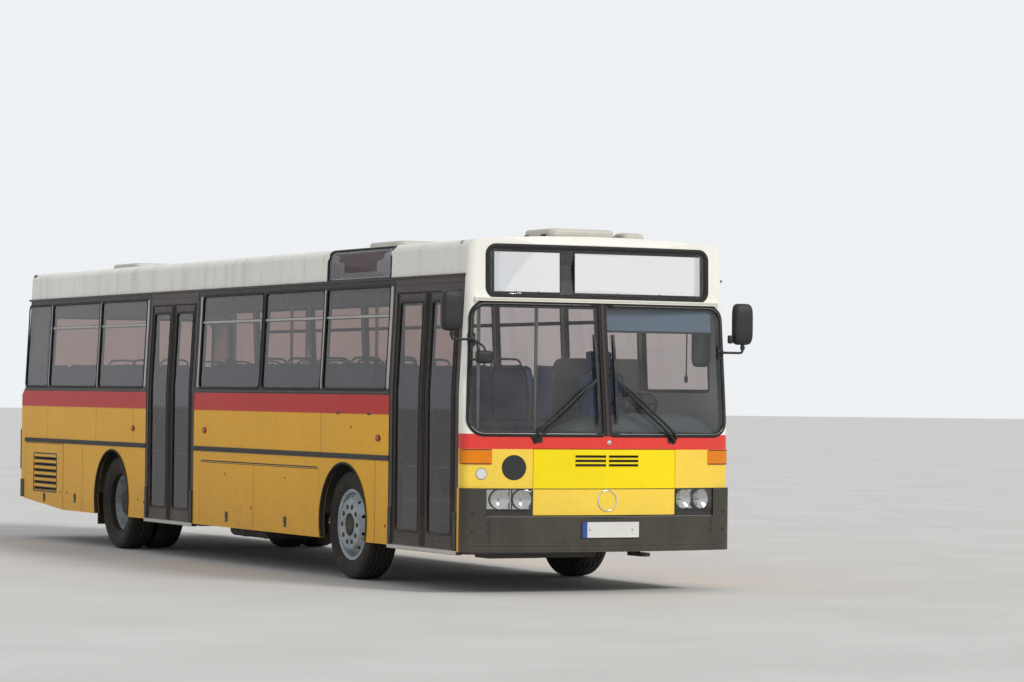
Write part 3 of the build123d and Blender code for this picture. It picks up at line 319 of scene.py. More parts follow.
def floor_sheet():
    """Speckled vinyl with scuffs along the gangway."""
    f = Finish("floor_sheet", specular=0.4)
    flecks = f.spread(f.cells(260.0), 0.12, 0.2, 1.0, 0.0)
    base = f.blend(f.spread(f.noise(3.0, 4.0), 0.3, 0.7), srgb(84, 84, 84), srgb(100, 99, 96))
    base = f.blend(f.times(flecks, 0.5), base, srgb(150, 148, 142))
    scuffs = f.spread(f.noise(14.0, 6.0, stretch=(1.0, 0.3, 1.0), rough=0.7), 0.58, 0.72)
    f.put("Base Color", f.blend(f.times(scuffs, 0.4), base, srgb(50, 48, 46)))
    f.uneven(20.0, 0.5, 0.75)
    f.bump(f.cells(180.0), 0.2, 0.001)


seat_fabric()
floor_sheet()


def glass(name, tint, dirt, flutes=0.0):
    """A thin pane: it lets the view through, tinted, and mirrors more towards its edges."""
    f = Finish(name)
    f.tree.nodes.remove(f.shader)
    clear = f.make("ShaderNodeBsdfTransparent", {"Color": (*(c ** 0.5 for c in tint), 1.0)})
    shine = f.make("ShaderNodeBsdfGlossy", {"Color": (0.9, 0.92, 0.95, 1.0), "Roughness": 0.02})
    film = f.make("ShaderNodeBsdfDiffuse", {"Color": srgb(150, 146, 138)})
    seen_from_front = f.calc("SUBTRACT", 1.0, f.make("ShaderNodeNewGeometry").outputs["Backfacing"])
    edge = f.times(f.make("ShaderNodeFresnel", {"IOR": 1.45}).outputs[0], seen_from_front)
    pane = f.make("ShaderNodeMixShader", {0: edge, 1: clear.outputs[0], 2: shine.outputs[0]})
    cover = f.spread(f.noise(3.0, 5.0), 0.35, 0.8, dirt * 0.3, dirt)
    if flutes:
        cover = f.calc("ADD", cover, f.spread(f.wave(f.x, 900.0), 0.2, 1.0, 0.0, flutes))
    whole = f.make("ShaderNodeMixShader", {0: cover, 1: pane.outputs[0], 2: film.outputs[0]})
    f.feed(f.output.inputs[0], whole.outputs[0])


glass("tinted_glass", (0.52, 0.42, 0.39), 0.07)
glass("clear_glass", (0.86, 0.92, 0.97), 0.10)
glass("lamp_glass", (0.92, 0.93, 0.95), 0.06)
glass("fluted_glass", (0.90, 0.92, 0.94), 0.16, flutes=0.30)


def moulded_lens(name):
    """A lamp lens with prisms behind a smooth face, still without its colour."""
    f = Finish(name, coat=0.1, specular=0.2, Transmission_Weight=0.04)
    prism = f.times(f.wave(f.calc("ADD", f.x, f.y), 900.0), f.wave(f.z, 700.0))
    f.uneven(50.0, 0.1, 0.24)
    f.bump(prism, 0.5, 0.001)
    return f, prism


def tint_lens(f, colour, deep, dirt):
    """Colour with darker clouds in it."""
    clouds = f.spread(f.noise(9.0, 4.0), 0.4, 0.8)
    f.put("Base Color", f.blend(f.times(clouds, dirt), colour, deep))


def lens(name, colour, deep):
    f, prism = moulded_lens(name)
    tint_lens(f, f.blend(f.spread(prism, -1.0, 1.0), deep, colour), deep, 0.35)


def signal_lens():
    """Amber in front; behind, amber over red over clear."""
    f, prism = moulded_lens("signal_lens")
    rear = f.blend(f.over(f.z, 0.900), LENS_CLEAR, LENS_RED)
    rear = f.blend(f.over(f.z, 1.040), rear, AMBER)
    base = f.blend(f.over(f.y, 0.0), AMBER, rear)
    base = f.blend(f.spread(prism, -1.0, 1.0, 0.2, 0.0), base, srgb(90, 24, 6))
    tint_lens(f, base, srgb(90, 60, 40), 0.12)


lens("red_lens", LENS_RED, srgb(120, 10, 12))
lens("clear_lens", LENS_CLEAR, srgb(150, 152, 156))
lens("reflector_orange", srgb(226, 92, 30), srgb(150, 52, 20))
signal_lens()

# what each CAD node is finished with
FINISH_NODES = {
    "side_paint": ("kerb_side_panels", "driver_side_panels", "kerb_flap_front", "kerb_flap_rear",
                   "kerb_flap_grille"),
    "flap_paint_and_painted_light": ("front_flap",),
    "tail_paint": ("engine_hatch", "rear_wall"),
    "roof_paint": ("roof",),
    "front_paint_and_painted_light": ("front_mask",),
    "window_black": ("kerb_window_frames", "driver_window_frames"),
    "frame_brown": ("door_frames",),
    "bumper_paint": ("bumpers",),
    "rubber_grey": ("rub_rails",),
    "rubber": ("mudflaps",),
    "clear_glass": ("windscreen",),
    "tinted_glass": ("saloon_glass",),
    "black_plastic": ("headlamps", "mirrors", "wipers", "steering_wheel"),
    "signal_lens": ("signal_lamps",),
    "sign_black": ("destination_signs",),
    "dash_grey": ("dashboard",),
    "pale_plastic": ("roof_hatches",),
    "chassis_paint": ("underframe", "front_axle", "rear_axle", "kerb_knuckle", "driver_knuckle", "fuel_tank"),
    "engine_block": ("engine",),
    "floor_sheet": ("floor_deck", "wheel_boxes"),
    "tread_plate": ("step_wells",),
    "seat_fabric": ("seats", "driver_seat"),
    "steel": ("handrails",),
    "partition": ("driver_partition",),
}


def node_finish(node):
    """The finish of a node, by the list above or by the kind of part its name tells."""
    for finish, nodes in FINISH_NODES.items():
        if node in nodes:
            return finish
    for word, finish in (("_leaf", "frame_brown"), ("_pillar", "black_plastic"), ("_glass", "tinted_glass"),
                         ("tyre", "tyre_rubber"), ("rim", "wheel_paint")):
        if node.endswith(word) or node.endswith(word + "s"):
            return finish


for node, obj in NODES.items():
    for slot in obj.material_slots:
        slot.material = FINISHES[node_finish(node)]


# mesh code
def around(middle, half):
    return middle - half, middle + half


def wider(span, by):
    """A span grown at both ends, or cut where by is below 0."""
    return span[0] - by, span[1] + by


def face_outwards(mesh):
    work = bmesh.new()
    work.from_mesh(mesh)
    bmesh.ops.recalc_face_normals(work, faces=work.faces)
    work.to_mesh(mesh)
    work.free()


def mesh_of(name, points, faces):
    mesh = bpy.data.meshes.new(name)
    mesh.from_pydata(points, [], faces)
    return mesh


def linked(name, data):
    obj = bpy.data.objects.new(name, data)
    SCENE.collection.objects.link(obj)
    return obj


def hang(name, mesh, body=BUS, replaces=()):
    """Puts a mesh into the scene as a piece that rides on a body."""
    obj = linked(name, mesh)
    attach(obj, body)
    if replaces:
        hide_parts(*replaces)
    return obj


def quads(rows, sides, round_rows=True, round_sides=True, turned=True):
    """Faces between rows of points; rows and sides may each close into a ring."""
    faces = []
    for i in range(rows if round_rows else rows - 1):
        j = (i + 1) % rows
        for k in range(sides if round_sides else sides - 1):
            m = (k + 1) % sides
            face = (i * sides + k, j * sides + k, j * sides + m, i * sides + m)
            faces.append((face[0], *face[:0:-1]) if turned else face)
    return faces


def sweep(path, profile, closed=True):
    """A profile (across, out) carried along a path of (point, outward normal)."""
    points = []
    count, sides = len(path), len(profile)
    for i, (spot, out) in enumerate(path):
        before = path[i - 1][0] if closed or i else spot
        after = path[(i + 1) % count][0] if closed or i < count - 1 else spot
        run = (after - before).normalized()
        across = run.cross(out).normalized()
        lift = across.cross(run).normalized()
        points += [spot + across * u + lift * v for u, v in profile]
    faces = quads(count, sides, closed, turned=False)
    if not closed:
        faces += [tuple(range(sides)), tuple((count - 1) * sides + k for k in reversed(range(sides)))]
    return points, faces


def hump(width, out, low=-0.004, steps=6):
    """Half-round profile of a rubber or trim strip."""
    arc = [(width / 2 * cos(pi * i / steps), out * sin(pi * i / steps) ** 0.7) for i in range(steps + 1)]
    return [(width / 2, low)] + arc + [(-width / 2, low)]


def flat(width, out, low=-0.004, ease=0.002):
    """Flat profile with eased edges."""
    half = width / 2
    return [(half, low), (half, out - ease), (half - ease, out), (-half + ease, out), (-half, out - ease),
            (-half, low)]


def rounded(corners, radii, step=0.09, arc=7):
    """Closed 2-D outline with rounded corners, divided along its straight runs."""
    loop, count = [], len(corners)
    pts = [Vector(c) for c in corners]
    for i, corner in enumerate(pts):
        radius = radii[i] if hasattr(radii, "__len__") else radii
        to_last = (pts[i - 1] - corner).normalized()
        to_next = (pts[(i + 1) % count] - corner).normalized()
        half = to_last.angle(to_next) / 2
        centre = corner + (to_last + to_next).normalized() * (radius / sin(half))
        a = corner + to_last * (radius / (sin(half) / cos(half))) - centre
        b = corner + to_next * (radius / (sin(half) / cos(half))) - centre
        turn = atan2(a.x * b.y - a.y * b.x, a.dot(b))
        for k in range(arc + 1):
            t = turn * k / arc
            loop.append(centre + Vector((a.x * cos(t) - a.y * sin(t), a.x * sin(t) + a.y * cos(t))))
    full = []
    for i, p in enumerate(loop):
        q = loop[(i + 1) % len(loop)]
        parts = max(1, int((q - p).length / step))
        full += [p.lerp(q, k / parts) for k in range(parts)]
    return full


def box_outline(u, v, radius, step=0.09, arc=5):
    return rounded([(u[0], v[0]), (u[1], v[0]), (u[1], v[1]), (u[0], v[1])], radius, step, arc)


def shrunk(outline, by):
    """An outline drawn in by a distance."""
    out, count = [], len(outline)
    turn = sum(outline[i - 1].x * outline[i].y - outline[i].x * outline[i - 1].y for i in range(count))
    hand = 1 if turn > 0 else -1
    for i, p in enumerate(outline):
        run = (outline[(i + 1) % count] - outline[i - 1]).normalized()
        out.append(p + Vector((-run.y, run.x)) * by * hand)
    return out


def plate(outline, where, low, high, ease=0.002, dome=0.0):
    """A thin raised plate on a surface: where(u, v, out) gives a point and its normal."""
    loops = [[where(p.x, p.y, low)[0] for p in outline],
             [where(p.x, p.y, high - ease)[0] for p in outline],
             [where(p.x, p.y, high)[0] for p in shrunk(outline, ease)]]
    if dome:
        for part, lift in ((0.35, 0.55), (0.7, 0.9)):
            mid = sum(outline, Vector((0, 0))) / len(outline)
            loops.append([where(*(p.lerp(mid, part)), high + dome * lift)[0] for p in outline])
    points = [p for loop in loops for p in loop]
    n = len(outline)
    faces = quads(len(loops), n, round_rows=False, turned=True)
    points.append(sum(loops[-1], Vector()) / n)
    last = (len(loops) - 1) * n
    faces += [(last + i, last + (i + 1) % n, len(points) - 1) for i in range(n)]
    faces.append(tuple(reversed(range(n))))
    return points, faces


def tube(points, radius, sides=10, closed=False):
    """A round bar along points; radius may be a list."""
    pts = [Vector(p) for p in points]
    count = len(pts)
    radii = radius if hasattr(radius, "__len__") else [radius] * count
    runs = []
    for i in range(count):
        a = pts[i - 1] if closed or i else pts[i]
        b = pts[(i + 1) % count] if closed or i < count - 1 else pts[i]
        runs.append((b - a).normalized())
    side = runs[0].orthogonal().normalized()
    turns = [2 * pi * k / sides for k in range(sides)]
    verts = []
    for spot, run, r in zip(pts, runs, radii):
        side = (side - run * side.dot(run)).normalized()
        other = run.cross(side)
        verts += [spot + (side * cos(t) + other * sin(t)) * r for t in turns]
    faces = quads(count, sides, closed)
    if not closed:
        faces += [tuple(reversed(range(sides))), tuple((count - 1) * sides + k for k in range(sides))]
    return verts, faces


def smooth_path(points, parts=6):
    """Points on a smooth curve through the given ones."""
    pts = [Vector(p) for p in points]
    out = []
    for i in range(len(pts) - 1):
        a, b = pts[max(i - 1, 0)], pts[i]
        c, d = pts[i + 1], pts[min(i + 2, len(pts) - 1)]
        bend, twist = 2 * a - 5 * b + 4 * c - d, 3 * b - a - 3 * c + d
        for k in range(parts):
            t = k / parts
            out.append(0.5 * (2 * b + (c - a) * t + bend * t * t + twist * t ** 3))
    out.append(pts[-1])
    return out


def lathe(profile, centre, axis=(1, 0, 0), segments=48, closed=False):
    """Turns (along, radius) pairs about an axis through centre."""
    axis, centre = Vector(axis).normalized(), Vector(centre)
    side = axis.orthogonal().normalized()
    other = axis.cross(side)
    points = []
    for i in range(segments):
        t = 2 * pi * i / segments
        ray = side * cos(t) + other * sin(t)
        points += [centre + axis * a + ray * r for a, r in profile]
    return points, quads(segments, len(profile), round_sides=closed)


def block(x, y, z, ease=0.004, segments=2):
    """A box with eased edges between two values on each axis."""
    work = bmesh.new()
    bmesh.ops.create_cube(work, size=1.0)
    spans = (x, y, z)
    size = Vector([abs(b - a) for a, b in spans])
    mid = Vector([(a + b) / 2 for a, b in spans])
    for v in work.verts:
        v.co = v.co * size + mid
    offset = min(ease, min(size) * 0.45)
    bmesh.ops.bevel(work, geom=work.edges[:], offset=offset, segments=segments, affect="EDGES", profile=0.5)
    work.verts.index_update()
    out = [v.co.copy() for v in work.verts], [tuple(v.index for v in f.verts) for f in work.faces]
    work.free()
    return out


def bolt(spot, out, radius=0.008, height=0.005, sides=6):
    """A small hexagonal or round head standing on a surface."""
    head = [(-0.002, 0.0), (-0.002, radius), (height * 0.7, radius), (height, radius * 0.8), (height, 0.0)]
    return lathe(head, spot, out, sides)


def lay(outline, where, out=0.0):
    """A path of (point, normal) for sweep, from a 2-D outline."""
    return [where(p[0], p[1], out) for p in outline]


def line(a, b, step=0.08):
    """Points from a to b in the plane of a surface."""
    a, b = Vector(a), Vector(b)
    parts = max(1, int((b - a).length / step))
    return [a.lerp(b, k / parts) for k in range(parts + 1)]


def fixed(normal, *spots):
    """A path of points that share one normal."""
    return [(Vector(spot), Vector(normal)) for spot in spots]


def mirrored(s, spots):
    """Points with their first value on the side s."""
    return [(s * x, *rest) for x, *rest in spots]


class Piece:
    """Gathers shapes into one mesh object that rides on a body."""

    def __init__(self):
        self.points, self.faces, self.kinds = [], [], []

    def add(self, shape, kind=0, move=None):
        points, faces = shape
        start = len(self.points)
        self.points += [move @ Vector(p) for p in points] if move else [Vector(p) for p in points]
        self.faces += [tuple(start + i for i in face) for face in faces]
        self.kinds += [kind] * len(faces)
        return self

    def trim(self, path, profile, kind=0):
        """A profile along an open path."""
        return self.add(sweep(path, profile, closed=False), kind)

    def ring(self, outline, where, profile, kind=0, out=0.0):
        """A profile round an outline on a surface."""
        return self.add(sweep(lay(outline, where, out), profile), kind)

    def strip(self, where, a, b, profile, kind=0):
        """A straight profile between two places on a surface."""
        return self.trim(lay(line(a, b), where), profile, kind)

    def patch(self, where, u, v, levels, radius, kind=0, ease=0.002, step=0.05, arc=3):
        """A rounded plate on a surface, from one level to another."""
        return self.add(plate(box_outline(u, v, radius, step, arc), where, *levels, ease), kind)

    def head(self, profile, place, kind=0, segments=16):
        """A turned form standing on a place, which is a point and its normal."""
        return self.add(lathe(profile, *place, segments), kind)

    def screw(self, place, kind, radius, height, sides=6):
        return self.add(bolt(*place, radius, height, sides), kind)

    def box(self, x, y, z, kind=0, ease=0.004, segments=2):
        return self.add(block(x, y, z, ease, segments), kind)

    def bar(self, points, radius, kind=0, sides=10, parts=0):
        """A round bar, bent smoothly where parts is given."""
        return self.add(tube(smooth_path(points, parts) if parts else points, radius, sides), kind)

    def band(self, points, radius, kind):
        """A thin closed strap."""
        return self.add(tube(points, radius, 6, closed=True), kind)

    def build(self, name, finishes, body=BUS, slot=None, replaces=(), sharp=35):
        mesh = mesh_of(name, self.points, self.faces)
        for finish in ([finishes] if isinstance(finishes, str) else finishes):
            mesh.materials.append(FINISHES[finish])
        mesh.polygons.foreach_set("material_index", self.kinds)
        face_outwards(mesh)
        mesh.shade_smooth()
        mesh.set_sharp_from_angle(angle=radians(sharp))
        return hang(name, mesh, body, replaces)


# the body's skin: height, half width, front, crown of the front, tail
SECTIONS = (
    (0.150, 1.242, -5.750, 0.165, 5.762), (1.300, 1.242, -5.750, 0.165, 5.762),
    (1.570, 1.242, -5.716, 0.144, 5.762), (1.650, 1.242, -5.705, 0.138, 5.655),
    (2.385, 1.206, -5.612, 0.062, 5.622), (3.000, 1.186, -5.596, 0.058, 5.596),
)
FRONT_CORNER, TAIL_CORNER, TAIL_BOW = 0.080, 0.085, 0.030
SHOULDER_Z, SHOULDER_X, SHOULDER_RADIUS = 2.779, 1.0826, 0.12
ROOF_CROWN_Z, ROOF_RADIUS = 2.945, 12.94


def section(z):
    """Half width, front, crown and tail of the body at a height."""
    for a, b in zip(SECTIONS, SECTIONS[1:]):
        if z <= b[0] or b is SECTIONS[-1]:
            t = max(0.0, (z - a[0]) / (b[0] - a[0]))
            return [a[i] + (b[i] - a[i]) * t for i in range(1, 5)]


def bowed(x, half, crown, corner):
    """How far the end of the body falls back at x: a shallow arc, then the rounded corner."""
    x, big = min(abs(x), half - 1e-4), (half * half + crown * crown) / (2 * crown)
    pivot_x = half - corner
    pivot_y = big - sqrt((big - corner) ** 2 - pivot_x ** 2)
    if x > pivot_x * big / (big - corner):
        return pivot_y - sqrt(max(corner ** 2 - (x - pivot_x) ** 2, 1e-9))
    return big - sqrt(big * big - x * x)


def front_y(x, z):
    half, front, crown, tail = section(z)
    return front + bowed(x, half, crown, FRONT_CORNER)


def tail_y(x, z):
    half, front, crown, tail = section(z)
    return tail - bowed(x, half, TAIL_BOW, TAIL_CORNER)


def on_end(surface_y, facing):
    """A way to place things on the front or the tail."""
    def where(x, z, out=0.0):
        step = 0.002
        slope_x = (surface_y(x + step, z) - surface_y(x - step, z)) / (2 * step)
        slope_z = (surface_y(x, z + step) - surface_y(x, z - step)) / (2 * step)
        normal = Vector((-facing * slope_x, facing, -facing * slope_z)).normalized()
        return Vector((x, surface_y(x, z), z)) + normal * out, normal
    return where


def half_at(z):
    """Half width of the body at a height, with the rounded shoulder under the roof."""
    half = section(z)[0]
    if z > 2.80:
        half = min(half, SHOULDER_X + sqrt(max(SHOULDER_RADIUS ** 2 - (z - SHOULDER_Z) ** 2, 1e-6)))
    return half


def on_side(side):
    def where(y, z, out=0.0):
        slope = (half_at(z + 0.002) - half_at(z - 0.002)) / 0.004
        normal = Vector((side, 0.0, -slope)).normalized()
        return Vector((side * half_at(z), y, z)) + normal * out, normal
    return where


def on_roof(x, y, out=0.0):
    """A point on the crown of the roof."""
    normal = Vector((x / ROOF_RADIUS, 0.0, 1.0)).normalized()
    z = ROOF_CROWN_Z - ROOF_RADIUS + sqrt(ROOF_RADIUS * ROOF_RADIUS - x * x)
    return Vector((x, y, z)) + normal * out, normal


on_front, on_tail = on_end(front_y, -1.0), on_end(tail_y, 1.0)
KERB, DRIVER = on_side(-1), on_side(1)
SIDES = ((-1, "kerb", KERB), (1, "driver", DRIVER))

# wheels
FRONT_AXLE, REAR_AXLE, HUB = -3.180, 2.740, 0.478
TYRE_MID, DUAL, DEEP_SHIFT = 1.042, 0.312, 0.06
TREAD_PARTS, TREAD_ZIG, TREAD_LUG = 150, 0.0045, 0.007
X_AXIS, Y_AXIS, Z_AXIS = Vector((1, 0, 0)), Vector((0, 1, 0)), Vector((0, 0, 1))
TYRE_WALL = [
    (0.100, 0.291), (0.106, 0.296), (0.109, 0.306), (0.111, 0.318), (0.116, 0.322), (0.1165, 0.328),
    (0.120, 0.336), (0.1275, 0.352), (0.1280, 0.356), (0.1315, 0.366), (0.1345, 0.380), (0.1358, 0.392),
    (0.1350, 0.404), (0.1362, 0.408), (0.1345, 0.420), (0.1310, 0.434), (0.1325, 0.438), (0.1285, 0.448),
    (0.1225, 0.460), (0.1150, 0.467)]
TYRE_TREAD = [
    (0.106, 0.4712), (0.092, 0.4735), (0.074, 0.4752), (0.073, 0.4620), (0.064, 0.4622), (0.063, 0.4758),
    (0.047, 0.4766), (0.030, 0.4772), (0.029, 0.4640), (0.020, 0.4642), (0.019, 0.4776), (0.0, 0.4780)]
RIM_BARREL = (
    (0.112, 0.311), (0.104, 0.3115), (0.100, 0.302), (0.100, 0.291), (0.084, 0.284), (0.060, 0.278),
    (0.020, 0.262), (-0.060, 0.262), (-0.090, 0.283), (-0.100, 0.291), (-0.100, 0.302), (-0.104, 0.3115),
    (-0.112, 0.311), (-0.112, 0.284), (-0.094, 0.272), (-0.060, 0.252), (0.020, 0.252), (0.052, 0.268),
    (0.080, 0.274), (0.106, 0.284))
# the bulged disc in front; profiles are (outwards, radius)
FRONT_DISC = {
    "disc": [(0.062, 0.268), (0.080, 0.272), (0.104, 0.246), (0.128, 0.222), (0.134, 0.214), (0.134, 0.100),
             (0.120, 0.100), (0.120, 0.206), (0.112, 0.216), (0.088, 0.240)],
    "hub": [(0.0, 0.098), (0.116, 0.098), (0.124, 0.086), (0.128, 0.070), (0.1335, 0.064), (0.1335, 0.0)],
    "nut": [(0.001, 0.016), (0.006, 0.015), (0.008, 0.010), (0.008, 0.0)],
    "drum": [(-0.30, 0.0), (-0.30, 0.205), (-0.09, 0.212), (-0.085, 0.160), (-0.01, 0.12)],
    "hole": (0.244, 0.106, 0.0165), "hole_lean": (0.75, 0.65), "nuts": (0.134, 0.158),
    "hub_bolts": (8, 0.127, 0.077)}
# the dished disc behind
REAR_DISC = {
    "disc": [(-0.090, 0.262), (-0.075, 0.262), (-0.010, 0.236), (-0.004, 0.225), (-0.004, 0.142),
             (-0.020, 0.142), (-0.020, 0.215), (-0.030, 0.228), (-0.096, 0.252)],
    "hub": [(-0.10, 0.150), (0.010, 0.140), (0.075, 0.128), (0.090, 0.116), (0.092, 0.112), (0.106, 0.110),
            (0.112, 0.100), (0.112, 0.0)],
    "nut": [(0.002, 0.016), (0.0225, 0.016), (0.030, 0.0125), (0.030, 0.009), (0.034, 0.008), (0.034, 0.0)],
    "drum": [(-0.34, 0.0), (-0.34, 0.21), (-0.12, 0.215), (-0.11, 0.15)],
    "hole": (0.207, -0.012, 0.0215), "hole_lean": (1.0, 0.0), "nuts": (-0.004, 0.1675),
    "hub_bolts": (10, 0.083, 0.121)}
NUT_WASHER = [(0, 0.0), (0, 0.021), (0.004, 0.021), (0.004, 0.016)]
NUT_COUNT = 10


def tyre_shape(x, y):
    """One tyre with zigzag grooves, shoulder lugs and sidewall ribs."""
    half = TYRE_WALL + TYRE_TREAD
    profile = [(a, r, i >= len(TYRE_WALL) + 2) for i, (a, r) in enumerate(half)]
    profile += [(-a, r, wavy) for a, r, wavy in reversed(profile[:-1])]
    points = []
    for i in range(TREAD_PARTS):
        t = 2 * pi * i / TREAD_PARTS
        zig = TREAD_ZIG if i % 6 < 3 else -TREAD_ZIG
        for a, r, wavy in profile:
            across = a + (zig if wavy else 0.0)
            if i % 3 == 0 and 0.090 < abs(a) < 0.117 and r > 0.46:
                r -= TREAD_LUG
            points.append((x + across, y + r * sin(t), HUB + r * cos(t)))
    return points, quads(TREAD_PARTS, len(profile))


def drilled(shape, cutters):
    """A closed shape with round holes through it."""
    tools = Piece()
    for cutter in cutters:
        tools.add(cutter)
    body = linked("work", mesh_of("work", [Vector(p) for p in shape[0]], shape[1]))
    tool = linked("tool", mesh_of("tool", tools.points, tools.faces))
    for obj in (body, tool):
        face_outwards(obj.data)
    cut = body.modifiers.new("cut", "BOOLEAN")
    cut.object, cut.operation, cut.solver = tool, "DIFFERENCE", "EXACT"
    bpy.context.view_layer.update()
    result = body.evaluated_get(bpy.context.evaluated_depsgraph_get()).to_mesh()
    out = [v.co.copy() for v in result.vertices], [tuple(p.vertices) for p in result.polygons]
    for obj in (body, tool):
        bpy.data.objects.remove(obj)
    return out


def outwards(s, profile):
    return [(s * a, r) for a, r in profile]


def wheel_rim(s, x, y, style):
    """A ten-nut disc wheel whose outer face looks to the side s."""
    rim, centre = Piece(), Vector((x, y, HUB))
    out = Vector((s, 0, 0))
    rim.add(lathe(outwards(s, RIM_BARREL), centre, X_AXIS, 72, closed=True))
    hole_at, hole_out, hole_radius = style["hole"]
    lean_out, lean_up = style["hole_lean"]
    cutters = []
    for k in range(NUT_COUNT):
        t = 2 * pi * (k + 0.5) / NUT_COUNT
        ray = Vector((0, cos(t), sin(t)))
        mid = Vector((x + s * hole_out, y, HUB)) + ray * hole_at
        lean = (out * lean_out + ray * lean_up).normalized()
        cutters.append(tube([mid - lean * 0.05, mid + lean * 0.05], hole_radius, 20))
    disc = lathe(outwards(s, style["disc"]), centre, X_AXIS, 72, closed=True)
    rim.add(drilled(disc, cutters))
    rim.add(lathe(outwards(s, style["hub"]), centre, X_AXIS, 40), 1)
    face, ring = style["nuts"]
    for k in range(NUT_COUNT):
        t = 2 * pi * k / NUT_COUNT
        place = Vector((x + s * face, y + ring * cos(t), HUB + ring * sin(t))), out
        rim.head(NUT_WASHER, place, 2, 18)
        rim.head(style["nut"], place, 2, 6)
    count, face, ring = style["hub_bolts"]
    for k in range(count):
        t = 2 * pi * k / count
        rim.screw(((x + s * face, y + ring * cos(t), HUB + ring * sin(t)), out), 2, 0.007, 0.006)
    valve = Vector((x + s * 0.07, y + 0.236, HUB))
    rim.bar([valve, valve + Vector((s * 0.045, 0.006, 0))], 0.0045, 3, 8)
    rim.add(lathe(outwards(s, style["drum"]), centre, X_AXIS, 40), 4)
    return rim


RIM_FINISHES = ["wheel_paint", "cast_iron", "cast_iron", "steel", "chassis_paint"]
for side, name, where in SIDES:
    x, front, rear = side * TYRE_MID, name + "_front_wheel", name + "_rear_wheels"
    tyre = Piece().add(tyre_shape(x, FRONT_AXLE))
    tyre.build(name + "_front_road_tyre", "tyre_rubber", front, "tyre", [name + "_front_tyre"], 28)
    twins = Piece().add(tyre_shape(x, REAR_AXLE)).add(tyre_shape(x - side * DUAL, REAR_AXLE))
    twins.build(name + "_rear_road_tyres", "tyre_rubber", rear, "tyre", [name + "_rear_tyres"], 28)
    rim = wheel_rim(side, x, FRONT_AXLE, FRONT_DISC)
    rim.build(name + "_front_disc_wheel", RIM_FINISHES, front, "rim silver", [name + "_front_rim"], 30)
    rims = wheel_rim(side, x - side * DEEP_SHIFT, REAR_AXLE, REAR_DISC)
    rims.build(name + "_rear_disc_wheels", RIM_FINISHES, rear, "rim silver", [name + "_rear_rims"], 30)

# sides: windows and doors as (first y, last y)
KERB_WINDOWS = ((-4.048, -2.692), (-2.632, -1.268), (-1.208, 0.311), (1.859, 3.201), (3.261, 4.758),
                (4.818, 5.553))
CAB_WINDOW = (-5.330, -4.160)
DRIVER_WINDOWS = (CAB_WINDOW, (-4.100, -2.692), (-2.632, -1.268), (-1.208, 0.311), (0.371, 1.800),
                  (1.860, 3.201), (3.261, 4.758), (4.818, 5.553))
WINDOWS = {"kerb": KERB_WINDOWS, "driver": DRIVER_WINDOWS}
WINDOW_Z, VENT_Z = (1.665, 2.540), 2.292
DOORS = (("front", -5.496, -4.130), ("rear", 0.431, 1.758))
DOOR_GAPS = [(first, last) for door, first, last in DOORS]
# places along each side; the strips between windows come with their widths
BRIGHT_STRIPS = {
    "kerb": ((0.341, 0.050), (1.809, 0.050), (-2.662, 0.030), (-4.089, 0.050), (3.231, 0.022),
             (4.788, 0.022)),
    "driver": ((0.341, 0.022), (1.830, 0.022), (-2.662, 0.022), (-4.130, 0.022), (3.231, 0.022),
               (4.788, 0.022), (-1.238, 0.022))}
LOW_SEAMS = {"kerb": (4.257, 3.646, -3.857), "driver": (4.257, 3.646, -3.857, 1.86, 0.36, -1.24, -2.64)}
HIGH_SEAMS = {"kerb": (-2.664, 2.13, 3.236, 4.79), "driver": (-4.13, -2.66, 2.13, 3.236, 4.79)}
REFLECTORS = {"kerb": ((-3.908, 1.245), (0.146, 1.255), (2.126, 1.247)),
              "driver": ((-4.70, 1.245), (-1.5, 1.255), (2.126, 1.247), (4.6, 1.247))}
GUTTER_Y, GUTTER_Z, BELT_Z = (-5.500, 5.560), (2.602, 2.611), 1.632
ARCH_REACH, ARCH_FOOT_Z, ARCH_RADIUS, ARCH_MID_Z = 0.487, 0.350, 0.505, 0.510
RAIL_X, RAIL_RIBS_Z, RAIL_END_Y = 1.2502, (1.064, 1.077, 1.090), 5.535
# the kerb side's small fittings, as (y, z)
FLAP_LOCKS = ((4.873, 0.461), (3.876, 0.482), (-0.445, 0.446), (-1.874, 0.453), (-2.91, 0.50))
RIVETS = ((-0.40, 0.85), (-1.86, 0.85), (4.34, 0.53), (4.13, 0.53), (3.18, 0.53), (1.96, 0.53),
          (-3.334, 1.331))
SILL_PLATES = ((-3.049, 1.45), (-3.714, 1.448))
LOW_REFLECTORS = ((-1.06, 0.55), (1.785, 0.51), (-4.07, 0.50))
HINGE_X, HINGE_Z, HINGE_PITCH = -1.242, 0.9525, 0.115


def runs(first, last, gaps):
    """What is left of a span when the gaps are taken out."""
    spans, start = [], first
    for a, b in sorted(gaps):
        if b > start and a < last:
            if a > start:
                spans.append((start, a))
            start = max(start, b)
    if start < last:
        spans.append((start, last))
    return spans


def window_seals(name, where):
    seals = Piece()
    for window in WINDOWS[name]:
        seals.ring(box_outline(wider(window, 0.004), wider(WINDOW_Z, 0.004), 0.049), where,
                   hump(0.026, 0.006))
        inner = box_outline(wider(window, -0.012), wider(WINDOW_Z, -0.012), 0.034)
        seals.ring(inner, where, hump(0.030, 0.004), out=-0.036)
    seals.build(name + "_window_seals", "rubber", slot="rail rubber")


